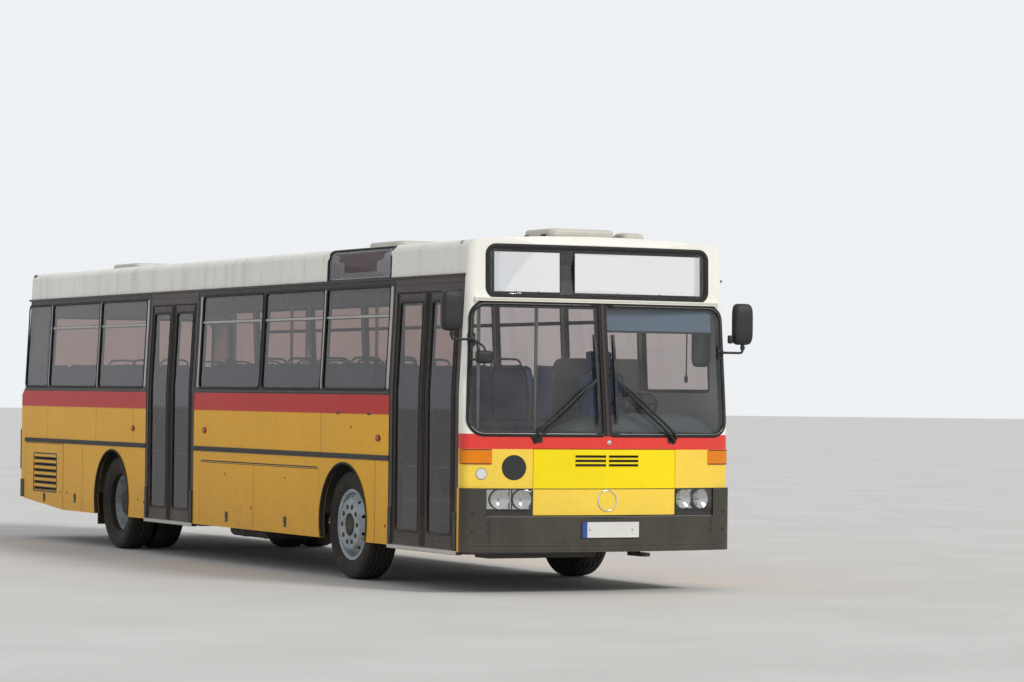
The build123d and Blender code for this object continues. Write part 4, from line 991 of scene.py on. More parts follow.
def vent_bars(name, where):
    """The hinged top vent of each wide window: its bar, its seal and two catches inside."""
    bars = Piece()
    for window in WINDOWS[name]:
        first, last = window
        if last - first <= 1.2 or window == CAB_WINDOW:
            continue
        bars.strip(where, (first + 0.01, VENT_Z), (last - 0.01, VENT_Z), flat(0.020, -0.002, -0.013))
        bars.strip(where, (first + 0.02, VENT_Z), (last - 0.02, VENT_Z), flat(0.034, -0.013, -0.030), 1)
        for share in (0.2, 0.8):
            y = first + (last - first) * share
            spot, out = where(y, VENT_Z - 0.004, -0.034)
            bars.box(around(spot.x, 0.012), around(y, 0.02), (VENT_Z - 0.018, VENT_Z + 0.006), 1)
    bars.build(name + "_vent_bars", ["aluminium", "black_plastic"], slot="rail steel")


def side_trims(name, where, gaps):
    """Bright strips between windows, the gutter, the belt line and the panels' seams."""
    trims, edges, seams = Piece(), Piece(), Piece()
    for y, width in BRIGHT_STRIPS[name]:
        trims.strip(where, (y, 1.668), (y, 2.538), flat(width, 0.004, -0.002))
    trims.build(name + "_bright_strips", "aluminium", slot="rail steel")
    for z, profile in zip(GUTTER_Z, (flat(0.014, 0.011), hump(0.010, 0.016))):
        edges.strip(where, (GUTTER_Y[0], z), (GUTTER_Y[1], z), profile)
    for a, b in runs(-5.490, GUTTER_Y[1], gaps):
        edges.strip(where, (a, BELT_Z), (b, BELT_Z), hump(0.020, 0.006))
    for y in LOW_SEAMS[name]:
        seams.strip(where, (y, 0.352), (y, 1.054), flat(0.005, 0.0008, -0.001, 0.0004))
    for y in HIGH_SEAMS[name]:
        seams.strip(where, (y, 1.102), (y, RED_BAND_Z), flat(0.004, 0.0006, -0.001, 0.0003))
    edges.build(name + "_gutter_and_belt", "frame_brown", slot="black paint")
    seams.build(name + "_panel_seams", "slot_black", slot="black paint")


def arch_lips(name, where):
    arches = Piece()
    for axle in (FRONT_AXLE, REAR_AXLE):
        low = -atan2(ARCH_MID_Z - 0.376, ARCH_REACH)
        angles = [low + (pi - 2 * low) * k / 56 for k in range(57)]
        path = [(axle + ARCH_REACH, ARCH_FOOT_Z)]
        path += [(axle + ARCH_RADIUS * cos(t), ARCH_MID_Z + ARCH_RADIUS * sin(t)) for t in angles]
        path.append((axle - ARCH_REACH, ARCH_FOOT_Z))
        arches.trim(lay([Vector(p) for p in path], where), hump(0.020, 0.011, -0.030))
    arches.build(name + "_arch_lips", "rubber", slot="rail rubber")


def rail_ribs(name, side, gaps):
    """The raised lines along the rub rail."""
    rail = Piece()
    for a, b in runs(-5.480 if side > 0 else DOORS[0][2], RAIL_END_Y, gaps):
        for z in RAIL_RIBS_Z:
            spots = [(side * RAIL_X, p.x, z) for p in line((a + 0.02, z), (b - 0.02, z), 0.2)]
            rail.trim(fixed((side, 0, 0), *spots), hump(0.006, 0.0022, -0.001, 4))
    rail.build(name + "_rail_ribs", "rubber_grey", slot="rail rubber")


def kerb_fittings():
    """Locks of the flaps, rivets, small plates under the windows and low reflectors."""
    fittings = Piece()
    for y, z in FLAP_LOCKS:
        u, v = (0.020, 0.030) if y < -2.5 else (0.030, 0.048)
        fittings.patch(KERB, around(y, u), around(z, v), (-0.001, 0.005), 0.008)
        fittings.patch(KERB, around(y, u * 0.55), (z - v * 0.2, z + v * 0.6), (0.004, 0.008), 0.004,
                       ease=0.0015, arc=2)
        barrel = [(0.0, 0.0), (0.006, 0.0), (0.008, 0.006), (0.006, 0.009), (0.0, 0.010)]
        fittings.head(barrel, (KERB(y, z - v * 0.5, 0.004)[0], (-1, 0, 0)), 1, 14)
    for y, z in RIVETS:
        fittings.head([(-0.001, 0.0), (-0.001, 0.011), (0.003, 0.010), (0.004, 0.007), (0.0025, 0.0)],
                      KERB(y, z))
    for y, z in SILL_PLATES:
        fittings.patch(KERB, around(y, 0.032), around(z, 0.009), (-0.001, 0.003), 0.004, ease=0.001, arc=2)
    for y, z in LOW_REFLECTORS:
        fittings.head([(-0.001, 0.0), (-0.001, 0.016), (0.004, 0.014), (0.006, 0.0)], KERB(y, z), 2, 18)
    fittings.build("kerb_fittings", ["black_plastic", "steel", "reflector_orange"], slot="black plastic")


def side_reflectors():
    reflectors = Piece()
    for side, name, where in SIDES:
        for y, z in REFLECTORS[name]:
            turns = [2 * pi * k / 28 for k in range(28)]
            oval = [Vector((y + 0.052 * cos(t), z + 0.030 * sin(t))) for t in turns]
            inner = [Vector((y + (p.x - y) * 0.8, z + (p.y - z) * 0.76)) for p in oval]
            reflectors.add(plate(oval, where, -0.001, 0.006, 0.003), 1)
            reflectors.add(plate(inner, where, 0.005, 0.011, 0.003, dome=0.003), 0)
    reflectors.build("side_reflectors", ["reflector_orange", "black_plastic"], slot="amber")


def flap_hinges():
    """The two low flaps' hinges as knuckles in a line, under a thin rubber strip."""
    hinges = Piece()
    for first, last in ((-2.62, -1.12), (-1.09, 0.24)):
        count = int((last - first) / HINGE_PITCH)
        for k in range(count):
            ends = [first + (last - first) * (k + share) / count for share in (0.18, 0.82)]
            hinges.bar([(HINGE_X, y, HINGE_Z) for y in ends], 0.0026, 0, 8)
    hinges.strip(KERB, (-2.60, 0.9645), (0.22, 0.9645), flat(0.010, 0.003, -0.001, 0.001), 1)
    hinges.build("flap_hinges", ["aluminium", "rubber"], slot="rail steel")


def grille_louvres():
    """Sloping blades behind the slots of the grille flap, in a frame, with a near-black sheet behind them as
    painted shade.
    """
    grille = Piece()
    for row in range(6):
        for k in range(2):
            z = 0.540 + row * 0.065 + 0.004 + k * 0.020
            blade = [(-1.2415, z), (-1.2415, z + 0.003), (-1.219, z + 0.019), (-1.219, z + 0.016)]
            points = [Vector((x, y, v)) for y in (4.489, 5.221) for x, v in blade]
            ends = [(0, 3, 2, 1), (4, 5, 6, 7)]
            grille.add((points, quads(2, 4, round_rows=False) + ends))
    # a near-black sheet behind the blades: painted shade
    grille.box((-1.213, -1.208), (4.480, 5.230), (0.530, 0.940), 1, 0.001)
    grille.ring(box_outline((4.475, 5.235), (0.526, 0.936), 0.012), KERB, flat(0.014, 0.003, -0.001, 0.001))
    grille.build("grille_louvres", ["black_plastic", "slot_black"], "kerb_flap_grille_body", "black plastic")


for side, name, where in SIDES:
    gaps = DOOR_GAPS if side < 0 else []
    window_seals(name, where)
    vent_bars(name, where)
    side_trims(name, where, gaps)
    arch_lips(name, where)
    rail_ribs(name, side, gaps)
kerb_fittings()
side_reflectors()
flap_hinges()
grille_louvres()

# doors; upright strips bend where the skin does
BENDS_Z = (1.3, 1.570, 1.650, 2.0, 2.385)
UPPER_STEP_Z, FLOOR_Z, NOSE_LEAN = 0.540, 0.740, (-0.707, 0, 0.707)
NOSING = [(0.022, -0.014), (0.020, 0.003), (0.0, 0.003), (-0.020, 0.003), (-0.022, -0.014)]


def upright(y, low, second, high):
    """A line up the kerb side's skin."""
    return [KERB(y, z) for z in (low, second, *BENDS_Z, high)]


def leaf_trim(door, place, jamb, step, half):
    """Seals, finger guard, profile ribs and the inner handle of one leaf."""
    edge = (jamb + step * 0.094, jamb + step * (half - 0.004))
    lo, hi = sorted((edge[0] + step * 0.045, edge[1] - step * 0.088))
    trim = Piece()
    outline = box_outline((lo - 0.003, hi + 0.003), (0.475, 2.398), 0.033)
    trim.ring(outline, KERB, hump(0.022, 0.005))
    trim.ring(outline, KERB, hump(0.026, 0.003), out=-0.037)
    trim.trim(upright(edge[1] - step * 0.014, 0.363, 0.8, 2.466), hump(0.026, 0.008))
    for y in (edge[0] + step * 0.014, edge[1] - step * 0.050):
        trim.trim(upright(y, 0.372, 0.8, 2.458), flat(0.008, 0.004), 1)
    for z in (0.420, 0.448, 2.425):
        trim.strip(KERB, (edge[0] + step * 0.02, z), (edge[1] - step * 0.04, z), flat(0.007, 0.003), 1)
    z = 1.02
    x = KERB(lo, z)[0].x + 0.044
    handle = [(x - 0.004, lo - 0.012, z), (x + 0.010, lo + 0.02, z), (x + 0.012, (lo + hi) / 2, z),
              (x + 0.010, hi - 0.02, z), (x - 0.004, hi + 0.012, z)]
    trim.bar(handle, 0.008, 2, parts=5)
    leaf = door + "_door_" + place
    trim.build(leaf + "_trim", ["rubber", "frame_brown", "steel"], leaf + "_leaf_body", "rail rubber")


def door_frame_trims():
    frames = Piece()
    for door, first, last in DOORS:
        for jamb, step in ((first, 1), (last, -1)):
            frames.trim(upright(jamb + step * 0.077, 0.358, 0.9, 2.470), hump(0.014, 0.006))
            frames.trim(upright(jamb + step * 0.006, 0.358, 0.9, 2.590), flat(0.010, 0.003), 1)
            span = (jamb + step * 0.012, jamb + step * 0.072)
            frames.patch(KERB, span, (0.362, 0.668), (-0.001, 0.014), 0.010, 2, ease=0.005, step=0.06)
            for z in (0.40, 0.63):
                frames.screw(KERB(jamb + step * 0.042, z, 0.013), 1, 0.007, 0.004)
        frames.strip(KERB, (first + 0.07, 2.4775), (last - 0.07, 2.4775), hump(0.014, 0.006))
        frames.strip(KERB, (first, 2.545), (last, 2.545), flat(0.006, 0.002), 1)
    frames.build("door_frame_trims", ["rubber", "frame_brown", "black_plastic"], slot="brown anodised")


def step_treads():
    """Pale sill nosings, ribbed treads and the metal noses of the steps."""
    treads = Piece()

    def across(x, z, normal, first, last, inset, middle=False):
        ys = [first + inset, (first + last) / 2, last - inset] if middle else [first + inset, last - inset]
        return fixed(normal, *[(x, y, z) for y in ys])

    for door, first, last in DOORS:
        treads.trim(across(-1.2495, 0.336, (-1, 0, 0), first, last, 0.004, True), flat(0.030, 0.004, -0.001))
        treads.trim(across(-1.226, 0.3535, Z_AXIS, first, last, 0.09, True), flat(0.040, 0.003, -0.001))
        for count, start, z, inset in ((16, -1.150, 0.340, 0.125), (14, -0.800, UPPER_STEP_Z, 0.21)):
            for k in range(count):
                rib = across(start + k * 0.0195, z, Z_AXIS, first, last, inset)
                treads.trim(rib, flat(0.009, 0.0022, -0.001, 0.001), 1)
        treads.trim(across(-0.828, UPPER_STEP_Z, NOSE_LEAN, first, last, 0.215), NOSING, 2)
        treads.trim(across(-0.470, FLOOR_Z, NOSE_LEAN, first, last, -0.10), NOSING, 2)
    treads.build("step_treads", ["pale_plastic", "rubber", "aluminium"], slot="floor sheet")


for door, first, last in DOORS:
    leaf_trim(door, "fore", first, 1, (last - first) / 2)
    leaf_trim(door, "aft", last, -1, (last - first) / 2)
door_frame_trims()
step_treads()


# front
def arc_on(where, reach, z, out, parts):
    """A level line across the front or the roof, reach to each side."""
    return [where(-reach + 2 * reach * k / parts, z, out) for k in range(parts + 1)]


def windscreen_seals():
    """Rubber round both panes with a bright bead, and the post between them."""
    front = Piece()
    for s in (-1, 1):
        corners = mirrored(s, ((0.032, 1.312), (1.197, 1.312), (1.159, 2.372), (0.032, 2.372)))
        screen = rounded(corners, [0.025, 0.12, 0.12, 0.025], 0.05)
        front.ring(shrunk(screen, -0.008), on_front, hump(0.036, 0.010, -0.010))
        bright = [p for p in shrunk(screen, -0.001) if abs(p[0]) > 0.07]
        front.trim(lay(bright, on_front, 0.0072), hump(0.007, 0.0022, -0.002, 4), 1)
        front.ring(shrunk(screen, 0.010), on_front, hump(0.034, 0.004), out=-0.036)
    centre = [on_front(0.0, 1.300 + 1.084 * k / 12) for k in range(13)]
    front.trim(centre, hump(0.066, 0.012, -0.010))
    front.trim([(p + n * 0.0105, n) for p, n in centre], flat(0.034, 0.005, -0.002), 2)
    front.build("windscreen_seals", ["rubber", "aluminium", "frame_brown"], slot="rail rubber", sharp=50)


def front_fittings():
    """The lip over the windscreen with a dark rubber strip under it as painted shadow, a chrome knob below
    it, and two bare discs where badges were.
    """
    brow = Piece()
    brow.trim(arc_on(on_front, 1.125, 2.407, 0.024, 30), hump(0.024, 0.004, -0.004))
    # a dark rubber strip under the lip: painted shadow of the brow
    brow.trim(arc_on(on_front, 1.10, 2.388, 0.006, 30), flat(0.012, 0.004, -0.006, 0.001), 5)
    knob = [(-0.002, 0.0), (-0.002, 0.024), (0.005, 0.022), (0.012, 0.017), (0.016, 0.009), (0.016, 0.0)]
    brow.head(knob, on_front(0.012, 1.243), 2, 24)
    for x, z, r, disc_kind, rim_kind in ((-0.824, 1.035, 0.103, 1, 4), (-1.092, 0.984, 0.048, 3, 1)):
        place = on_front(x, z)
        disc = [(-0.003, 0.0), (-0.003, r), (0.0015, r), (0.003, r - 0.002), (0.0034, r * 0.5), (0.0034, 0.0)]
        brow.head(disc, place, disc_kind, 44)
        rim = [(0.002, r * 0.90), (0.0042, r * 0.91), (0.0042, r * 0.97), (0.002, r * 0.98)]
        brow.head(rim, place, rim_kind, 44)
    finishes = ["pale_plastic", "black_plastic", "chrome", "plate_white", "dial_face", "rubber"]
    brow.build("front_fittings", finishes, slot="black plastic")


def front_flap_details():
    """A near-black backing behind the flap's slots as painted shade, vanes (the inner ones near-black, also
    painted shade), a seam and the bare round boss.
    """
    flap = Piece()
    for s in (-1, 1):
        # a near-black sheet behind the slots: painted shade
        grid = [on_front(s * x, z, -0.034)[0] for z in (1.035, 1.150) for x in (0.0, 0.1, 0.2, 0.31)]
        flap.add((grid, quads(2, 4, False, False)), 1)
        for row in range(3):
            z = 1.046 + row * 0.036
            vane = [on_front(s * x, z - 0.0025, 0.0) for x in (0.010, 0.1, 0.2, 0.296)]
            flap.trim(vane, flat(0.005, 0.003, -0.006, 0.001))
            # inner vanes in near-black: painted shade
            vane = [on_front(s * x, z + 0.010, -0.014) for x in (0.012, 0.1, 0.2, 0.294)]
            flap.trim(vane, [(0.010, 0.0), (0.010, 0.002), (-0.010, 0.010), (-0.010, 0.008)], 1)
    flap.trim(arc_on(on_front, 0.655, FLAP_LEMON_Z, 0.0, 16), hump(0.007, 0.0016, -0.001, 4), 2)
    boss = on_front(0.0, 0.765)
    ring = [(-0.001, 0.078), (0.004, 0.080), (0.006, 0.083), (0.006, 0.087), (0.004, 0.090), (-0.001, 0.092)]
    flap.head(ring, boss, 3, 48)
    flap.head([(-0.001, 0.0), (0.002, 0.0), (0.002, 0.060), (-0.001, 0.062)], boss, 0, 48)
    finishes = ["flap_paint_and_painted_light", "slot_black", "frame_brown", "chrome"]
    flap.build("front_flap_details", finishes, "front_flap_body", "yellow paint")


windscreen_seals()
front_fittings()
front_flap_details()


# destination signs
def sheet_on(where, u, v, out, steps):
    """A thin sheet lying on the skin between two values of u and v."""
    points = []
    for level in (out, out - 0.0015):
        for i in range(steps + 1):
            across = u[0] + (u[1] - u[0]) * i / steps
            points += [where(across, v[0] + (v[1] - v[0]) * j / 3, level)[0] for j in range(4)]
    n = (steps + 1) * 4
    faces = []
    for i in range(steps):
        for j in range(3):
            a = i * 4 + j
            faces += [(a, a + 4, a + 5, a + 1), (n + a, n + a + 1, n + a + 5, n + a + 4)]
    ring = [i * 4 for i in range(steps + 1)] + [steps * 4 + j for j in (1, 2, 3)]
    ring += [i * 4 + 3 for i in reversed(range(steps))] + [2, 1]
    for k, a in enumerate(ring):
        b = ring[(k + 1) % len(ring)]
        faces.append((a, n + a, n + b, b))
    return points, faces


def destination_signs():
    """Backing, blinds, frames and seals of the front and side signs, then their panes."""
    sign, panes = Piece(), Piece()
    front_sign = rounded([(-1.021, 2.438), (1.021, 2.438), (1.021, 2.840), (-1.021, 2.840)], 0.07, 0.06)
    side_span = (-4.034, -2.692)
    side_sign = box_outline(side_span, (2.615, 2.880), 0.02, 0.06, 4)
    sign.add(plate(shrunk(front_sign, 0.001), on_front, -0.0245, -0.0125, 0.001))
    for a, b in ((-0.965, -0.379), (-0.241, 0.965)):
        sign.add(sheet_on(on_front, (a, b), (2.472, 2.800), -0.0105, 14), 1)
        frame_line = box_outline((a - 0.004, b + 0.004), (2.468, 2.804), 0.006, 0.09, 2)
        sign.ring(frame_line, on_front, flat(0.010, 0.003, -0.002, 0.001), out=-0.011)
        for k in (1, 2):
            x = a + (b - a) * k / 3
            sign.strip(on_front, (x, 2.474), (x, 2.478), flat(0.012, -0.008, -0.011, 0.001))
    sign.ring(shrunk(front_sign, -0.007), on_front, hump(0.034, 0.008, -0.010), 2)
    sign.ring(shrunk(front_sign, 0.012), on_front, hump(0.012, 0.004, -0.004, 4), 2, out=-0.002)
    sign.add(plate(shrunk(side_sign, 0.001), KERB, -0.030, -0.018, 0.001))
    sign.add(sheet_on(KERB, wider(side_span, -0.035), (2.640, 2.862), -0.014, 8), 3)
    sign.ring(shrunk(side_sign, -0.005), KERB, hump(0.024, 0.006, -0.010), 2)
    finishes = ["sign_black", "blind_cloth", "rubber", "side_blind"]
    sign.build("destination_sign_boxes", finishes, slot="sign black", replaces=["destination_signs"])
    panes.add(plate(shrunk(front_sign, 0.004), on_front, -0.0065, -0.0045, 0.0005))
    panes.add(plate(shrunk(side_sign, 0.004), KERB, -0.009, -0.007, 0.0005))
    panes.build("destination_sign_panes", "lamp_glass", slot="glass")


destination_signs()

# lamps
LAMP_X, LAMP_Z, LAMPS = (0.664, 1.060), (0.637, 0.863), ((0.752, 0.074), (0.938, 0.076))
FLUTES, FLUTES_X, FLUTES_Z = 54, (0.672, 1.050), (0.694, 0.698, 0.775, 0.852, 0.857)


def fluted_cover(s):
    """The wavy glass over both lamps of a side, its top and bottom rows bent back."""
    points, first, last = [], *FLUTES_X
    for j, z in enumerate(FLUTES_Z):
        edge = -0.004 if j in (0, len(FLUTES_Z) - 1) else 0.0
        for i in range(FLUTES + 1):
            wave = 0.0012 * abs(sin(pi * i * 0.5))
            points.append(on_front(s * (first + (last - first) * i / FLUTES), z, 0.0045 + wave + edge)[0])
    return points, quads(len(FLUTES_Z), FLUTES + 1, False, False)


def headlamps():
    lamps, covers = Piece(), Piece()
    for s in (-1, 1):
        def side_patch(x, z, levels, radius, kind, ease):
            lamps.patch(on_front, (s * x[0], s * x[1]), z, levels, radius, kind, ease)

        opening = box_outline((s * LAMP_X[0], s * LAMP_X[1]), LAMP_Z, 0.008, 0.05, 3)
        lamps.add(plate(shrunk(opening, 0.001), on_front, -0.040, -0.036, 0.001))
        tray = [(0.004, -0.020), (0.004, 0.020), (-0.004, 0.020), (-0.004, -0.020)]
        lamps.ring(shrunk(opening, 0.004), on_front, tray, out=-0.018)
        side_patch((0.668, 1.056), (0.640, 0.688), (-0.020, 0.004), 0.006, 0, 0.003)
        for x, radius in LAMPS:
            place = on_front(s * x, 0.775, -0.034)
            bowl = [(0.004, 0.004), (0.006, 0.018), (0.010, 0.034), (0.017, 0.050), (0.026, 0.064),
                    (0.031, radius), (0.033, radius + 0.003), (0.030, radius + 0.005), (0.0, 0.040)]
            lamps.head(bowl, place, 1, 40)
            lamps.head([(0.003, 0.0), (0.003, 0.010), (0.014, 0.009), (0.020, 0.006), (0.022, 0.0)], place, 2)
        side_patch((0.670, 1.052), (0.696, 0.858), (-0.0355, -0.0345), 0.010, 3, 0.0005)
        covers.add(fluted_cover(s))
        covers.trim([on_front(s * 0.842, z, 0.004) for z in (0.694, 0.775, 0.857)],
                    flat(0.010, 0.003, -0.004), 1)
        rim = box_outline((s * 0.668, s * 1.054), (0.690, 0.861), 0.008, 0.05, 3)
        covers.ring(rim, on_front, flat(0.010, 0.007, -0.004), 1)
    finishes = ["black_plastic", "chrome", "clear_lens", "chrome"]
    lamps.build("headlamp_units", finishes, slot="lamp glass", replaces=["headlamps"])
    covers.build("headlamp_lenses", ["fluted_glass", "black_plastic"], slot="lamp glass", sharp=60)


def lamp_details():
    """Edges and screws of the front indicators, and the marker lamps under the roof."""
    markers = Piece()
    for s, name, where in SIDES:
        for z in (1.065, 1.180):
            xs = (1.014, 1.06, 1.10, 1.14, 1.16, 1.18, 1.20, 1.215, 1.228, 1.236)
            markers.trim([on_front(s * x, z, 0.0065) for x in xs], flat(0.007, 0.0025, -0.002, 0.001))
        for x in (1.045, 1.205):
            markers.screw(on_front(s * x, 1.168, 0.0065), 1, 0.005, 0.003, 12)
        for y, kind in ((-5.358, 2), (5.500, 0)):
            dome = [(-0.002, 0.0), (-0.002, 0.022), (0.006, 0.021), (0.013, 0.016), (0.016, 0.008),
                    (0.016, 0.0)]
            markers.head(dome, where(y, 2.873), kind, 22)
    markers.build("lamp_details", ["black_plastic", "steel", "clear_lens"], slot="amber")


headlamps()
lamp_details()


# bumper and number plate
def on_bumper(x, z, out=0.0):
    """A place on the front bumper, which stands upright 20 mm ahead of the skin."""
    spot, normal = on_front(x, 0.5)
    level = Vector((normal.x, normal.y, 0)).normalized()
    return Vector((spot.x, spot.y, z)) + level * (0.020 + out), level


def bumper_details():
    """Ribs, the ledge on top, joints, screws and the bare number plate."""
    bumper = Piece()
    bumper.trim(arc_on(on_bumper, 1.16, 0.403, 0.0, 40), hump(0.016, 0.003, -0.002, 6))
    bumper.trim(arc_on(on_bumper, 1.16, 0.371, 0.0, 40), hump(0.012, 0.0022, -0.002, 6))
    ledge = [(spot, Z_AXIS) for spot, out in arc_on(on_bumper, 1.05, 0.634, -0.012, 30)]
    bumper.trim(ledge, flat(0.018, 0.004, -0.002), 1)
    for s in (-1, 1):
        joint = [on_bumper(s * 1.030, z) for z in (0.350, 0.5, 0.631)]
        bumper.trim(joint, flat(0.006, 0.0012, -0.001, 0.0005), 2)
        for x, z in ((1.036, 0.579), (1.036, 0.506), (1.165, 0.663), (1.165, 0.517)):
            screw = [(-0.001, 0.014), (0.0015, 0.014), (0.0015, 0.009), (0.004, 0.008), (0.005, 0.0)]
            bumper.head(screw, on_bumper(s * x, z), 2)
    bumper.patch(on_bumper, (-0.135, 0.095), (0.618, 0.633), (-0.004, 0.002), 0.004, 2, 0.001, arc=2)
    bumper.patch(on_bumper, (-0.243, 0.297), (0.455, 0.599), (-0.002, 0.007), 0.006, 2, step=0.06)
    for span, kind in (((-0.193, 0.289), 3), ((-0.235, -0.194), 4)):
        bumper.patch(on_bumper, span, (0.463, 0.591), (0.006, 0.0095), 0.004, kind, 0.001, 0.06, 2)
    for x in (-0.17, 0.225):
        bumper.screw(on_bumper(x, 0.527, 0.009), 1, 0.006, 0.003, 14)
    finishes = ["bumper_grey", "grey_plastic", "black_plastic", "plate_white", "plate_blue"]
    bumper.build("bumper_details", finishes, slot="bumper grey")


bumper_details()

# wipers
BLADE_Z, BLADE_LENGTH, WIPER_JOINT_Z = 1.392, 0.738, 1.76


def on_blade(s, z, out):
    """A place over the wiper's blade, which leans a little outwards."""
    return on_front(s * (0.082 + 0.006 * (z - 1.39)), z, out)


def wiper_sets():
    """Two upright blades with their bows, double arms and pivots."""
    wipers = Piece()
    for s in (-1, 1):
        blade = [on_blade(s, BLADE_Z + BLADE_LENGTH * k / 18, -0.004) for k in range(19)]
        wipers.trim(blade, [(0.004, 0.0), (0.004, 0.012), (-0.004, 0.012), (-0.004, 0.0)])
        wipers.trim(blade, [(0.015, 0.011), (0.013, 0.019), (-0.013, 0.019), (-0.015, 0.011)], 1)
        for middle, reach, lift in ((1.56, 0.14, 0.016), (1.96, 0.14, 0.016), (1.76, 0.20, 0.022)):
            bow = []
            for k in range(9):
                z = middle - reach + 2 * reach * k / 8
                bow.append(on_blade(s, z, 0.012 + lift * sin(pi * k / 8) ** 0.6))
            wipers.trim(bow, flat(0.022, 0.005, 0.0, 0.001), 1)
        joint = on_front(s * 0.084, WIPER_JOINT_Z, 0.032)[0]
        wipers.head([(-0.012, 0.0), (-0.012, 0.009), (0.006, 0.009), (0.008, 0.0)], (joint, X_AXIS), 1, 14)
        for shift, lift in ((0.0, 0.0), (0.045, 0.014)):
            arm = ((0.640 + shift * 0.4, 1.258 + lift * 1.9, 0.020),
                   (0.575 + shift * 0.5, 1.318 + lift * 2.1, 0.032),
                   (0.40 + shift * 0.5, 1.462 + lift * 2.0, 0.038),
                   (0.22 + shift * 0.4, 1.625 + lift * 1.5, 0.038))
            wipers.bar([on_front(s * x, z, out)[0] for x, z, out in arm] + [joint], 0.0115, 1, parts=5)
        for x, z in ((0.640, 1.256), (0.658, 1.286)):
            cap = [(-0.002, 0.0), (-0.002, 0.024), (0.010, 0.022), (0.012, 0.016), (0.022, 0.015),
                   (0.026, 0.010), (0.026, 0.0)]
            wipers.head(cap, on_front(s * x, z), 1, 22)
        span = (s * 0.585, s * 0.668)
        wipers.patch(on_front, span, (1.238, 1.305), (-0.001, 0.007), 0.012, 1, 0.003, 0.04)
    wipers.build("wiper_sets", ["rubber", "black_plastic"], slot="black plastic", replaces=["wipers"])


wiper_sets()

# mirrors
SHELL_SIDES = 44
SHELL_RINGS = ((1.0, 0.94), (0.78, 1.0), (0.30, 1.0), (-0.25, 0.985), (-0.62, 0.93), (-0.86, 0.80),
               (-0.97, 0.55), (-1.0, 0.25))
MIRROR_X, MIRROR_Y, MIRROR_STEM_X, ARM_FOOT_X = (1.272, 1.453), -5.600, 1.362, 1.165


def squarish(t, power):
    """A point on a rounded square, 1 to each side."""
    c, s = cos(t), sin(t)
    return abs(c) ** power * (1 if c > 0 else -1), abs(s) ** power * (1 if s > 0 else -1)


def shell_head(x, y, z):
    """A crowned mirror housing between two values on each axis, open face towards +Y, and its glass."""
    mid, size = [(a + b) / 2 for a, b in (x, y, z)], [abs(b - a) / 2 for a, b in (x, y, z)]
    points, inner, n = [], [], SHELL_SIDES
    for v, scale in SHELL_RINGS:
        for k in range(n):
            px, pz = squarish(2 * pi * k / n, 0.42)
            spot = (mid[0] + size[0] * scale * px, mid[1] + size[1] * v, mid[2] + size[2] * scale * pz)
            points.append(Vector(spot))
    faces = quads(len(SHELL_RINGS), n, round_rows=False)
    faces.append(tuple(reversed(range((len(SHELL_RINGS) - 1) * n, len(SHELL_RINGS) * n))))
    for v, scale in ((1.0, 0.90), (0.86, 0.88)):
        cut = scale / SHELL_RINGS[0][1]
        cut_z = 1 - (1 - cut) * size[0] / size[2]
        for p in points[:n]:
            inner.append(Vector((mid[0] + (p.x - mid[0]) * cut, mid[1] + size[1] * v,
                                 mid[2] + (p.z - mid[2]) * cut_z)))
    base = len(points)
    for k in range(n):
        m = (k + 1) % n
        faces.append((k, base + k, base + m, m))
        faces.append((base + k, base + n + k, base + n + m, base + m))
    return (points + inner, faces), (inner[n:], [tuple(range(n))])


def add_mirror(piece, x, y, z, glass_kind):
    housing, face = shell_head(x, y, z)
    piece.add(housing)
    piece.add(face, glass_kind)


def mirror_sets():
    """Both outside mirrors on their arms, the small one at the front door, and the lamp under one arm."""
    mirrors = Piece()
    for s, low, tall in ((-1, 2.142, 0.334), (1, 2.070, 0.350)):
        add_mirror(mirrors, (s * MIRROR_X[0], s * MIRROR_X[1]), (-5.640, -5.562), (low, low + tall), 1)
        hub = Vector((s * MIRROR_STEM_X, MIRROR_Y, low - 0.012))
        mirrors.bar([hub + Vector((0, 0, 0.05)), hub, hub + Vector((0, 0, -0.035))], [0.015, 0.015, 0.013],
                    0, 14)
        elbow = low - 0.068
        foot = on_front(s * ARM_FOOT_X, elbow)
        bend = mirrored(s, ((MIRROR_STEM_X, MIRROR_Y, elbow + 0.022), (1.348, MIRROR_Y, elbow + 0.002),
                            (1.30, MIRROR_Y, elbow), (1.22, -5.612, elbow)))
        mirrors.bar([hub + Vector((0, 0, -0.02)), *bend, foot[0]], 0.0105, 0, 12, 6)
        collar = [(-0.004, 0.0), (-0.004, 0.032), (0.006, 0.030), (0.010, 0.020), (0.030, 0.016),
                  (0.034, 0.0)]
        mirrors.head(collar, foot, 0, 22)
        span = (s * 1.135, s * 1.195)
        mirrors.patch(on_front, span, around(elbow, 0.055), (-0.002, 0.007), 0.014, 0, 0.003, 0.03)
        clamp = (s * MIRROR_STEM_X, MIRROR_Y, low - 0.024)
        mirrors.head([(-0.014, 0.0), (-0.014, 0.020), (0.014, 0.020), (0.014, 0.0)], (clamp, Z_AXIS), 0, 18)
    add_mirror(mirrors, (-1.190, -1.045), (-5.735, -5.680), (1.880, 1.985), 1)
    for x in (-1.160, -1.105):
        arm = [(x, -5.700, 1.960), (x - 0.012, -5.690, 2.015), (-1.168, -5.640, 2.060),
               on_front(-1.165, 2.068)[0]]
        mirrors.bar(arm, 0.0085, parts=6)
    joint = [(-0.020, 0.0), (-0.020, 0.016), (0.020, 0.016), (0.020, 0.0)]
    mirrors.head(joint, ((-1.133, -5.700, 1.968), X_AXIS))
    mirrors.box((1.222, 1.266), (-5.612, -5.580), (2.080, 2.150), 0, 0.010, 3)
    finishes = ["black_plastic", "mirror_glass"]
    mirrors.build("mirror_sets", finishes, slot="black plastic", replaces=["mirrors"], sharp=40)


mirror_sets()

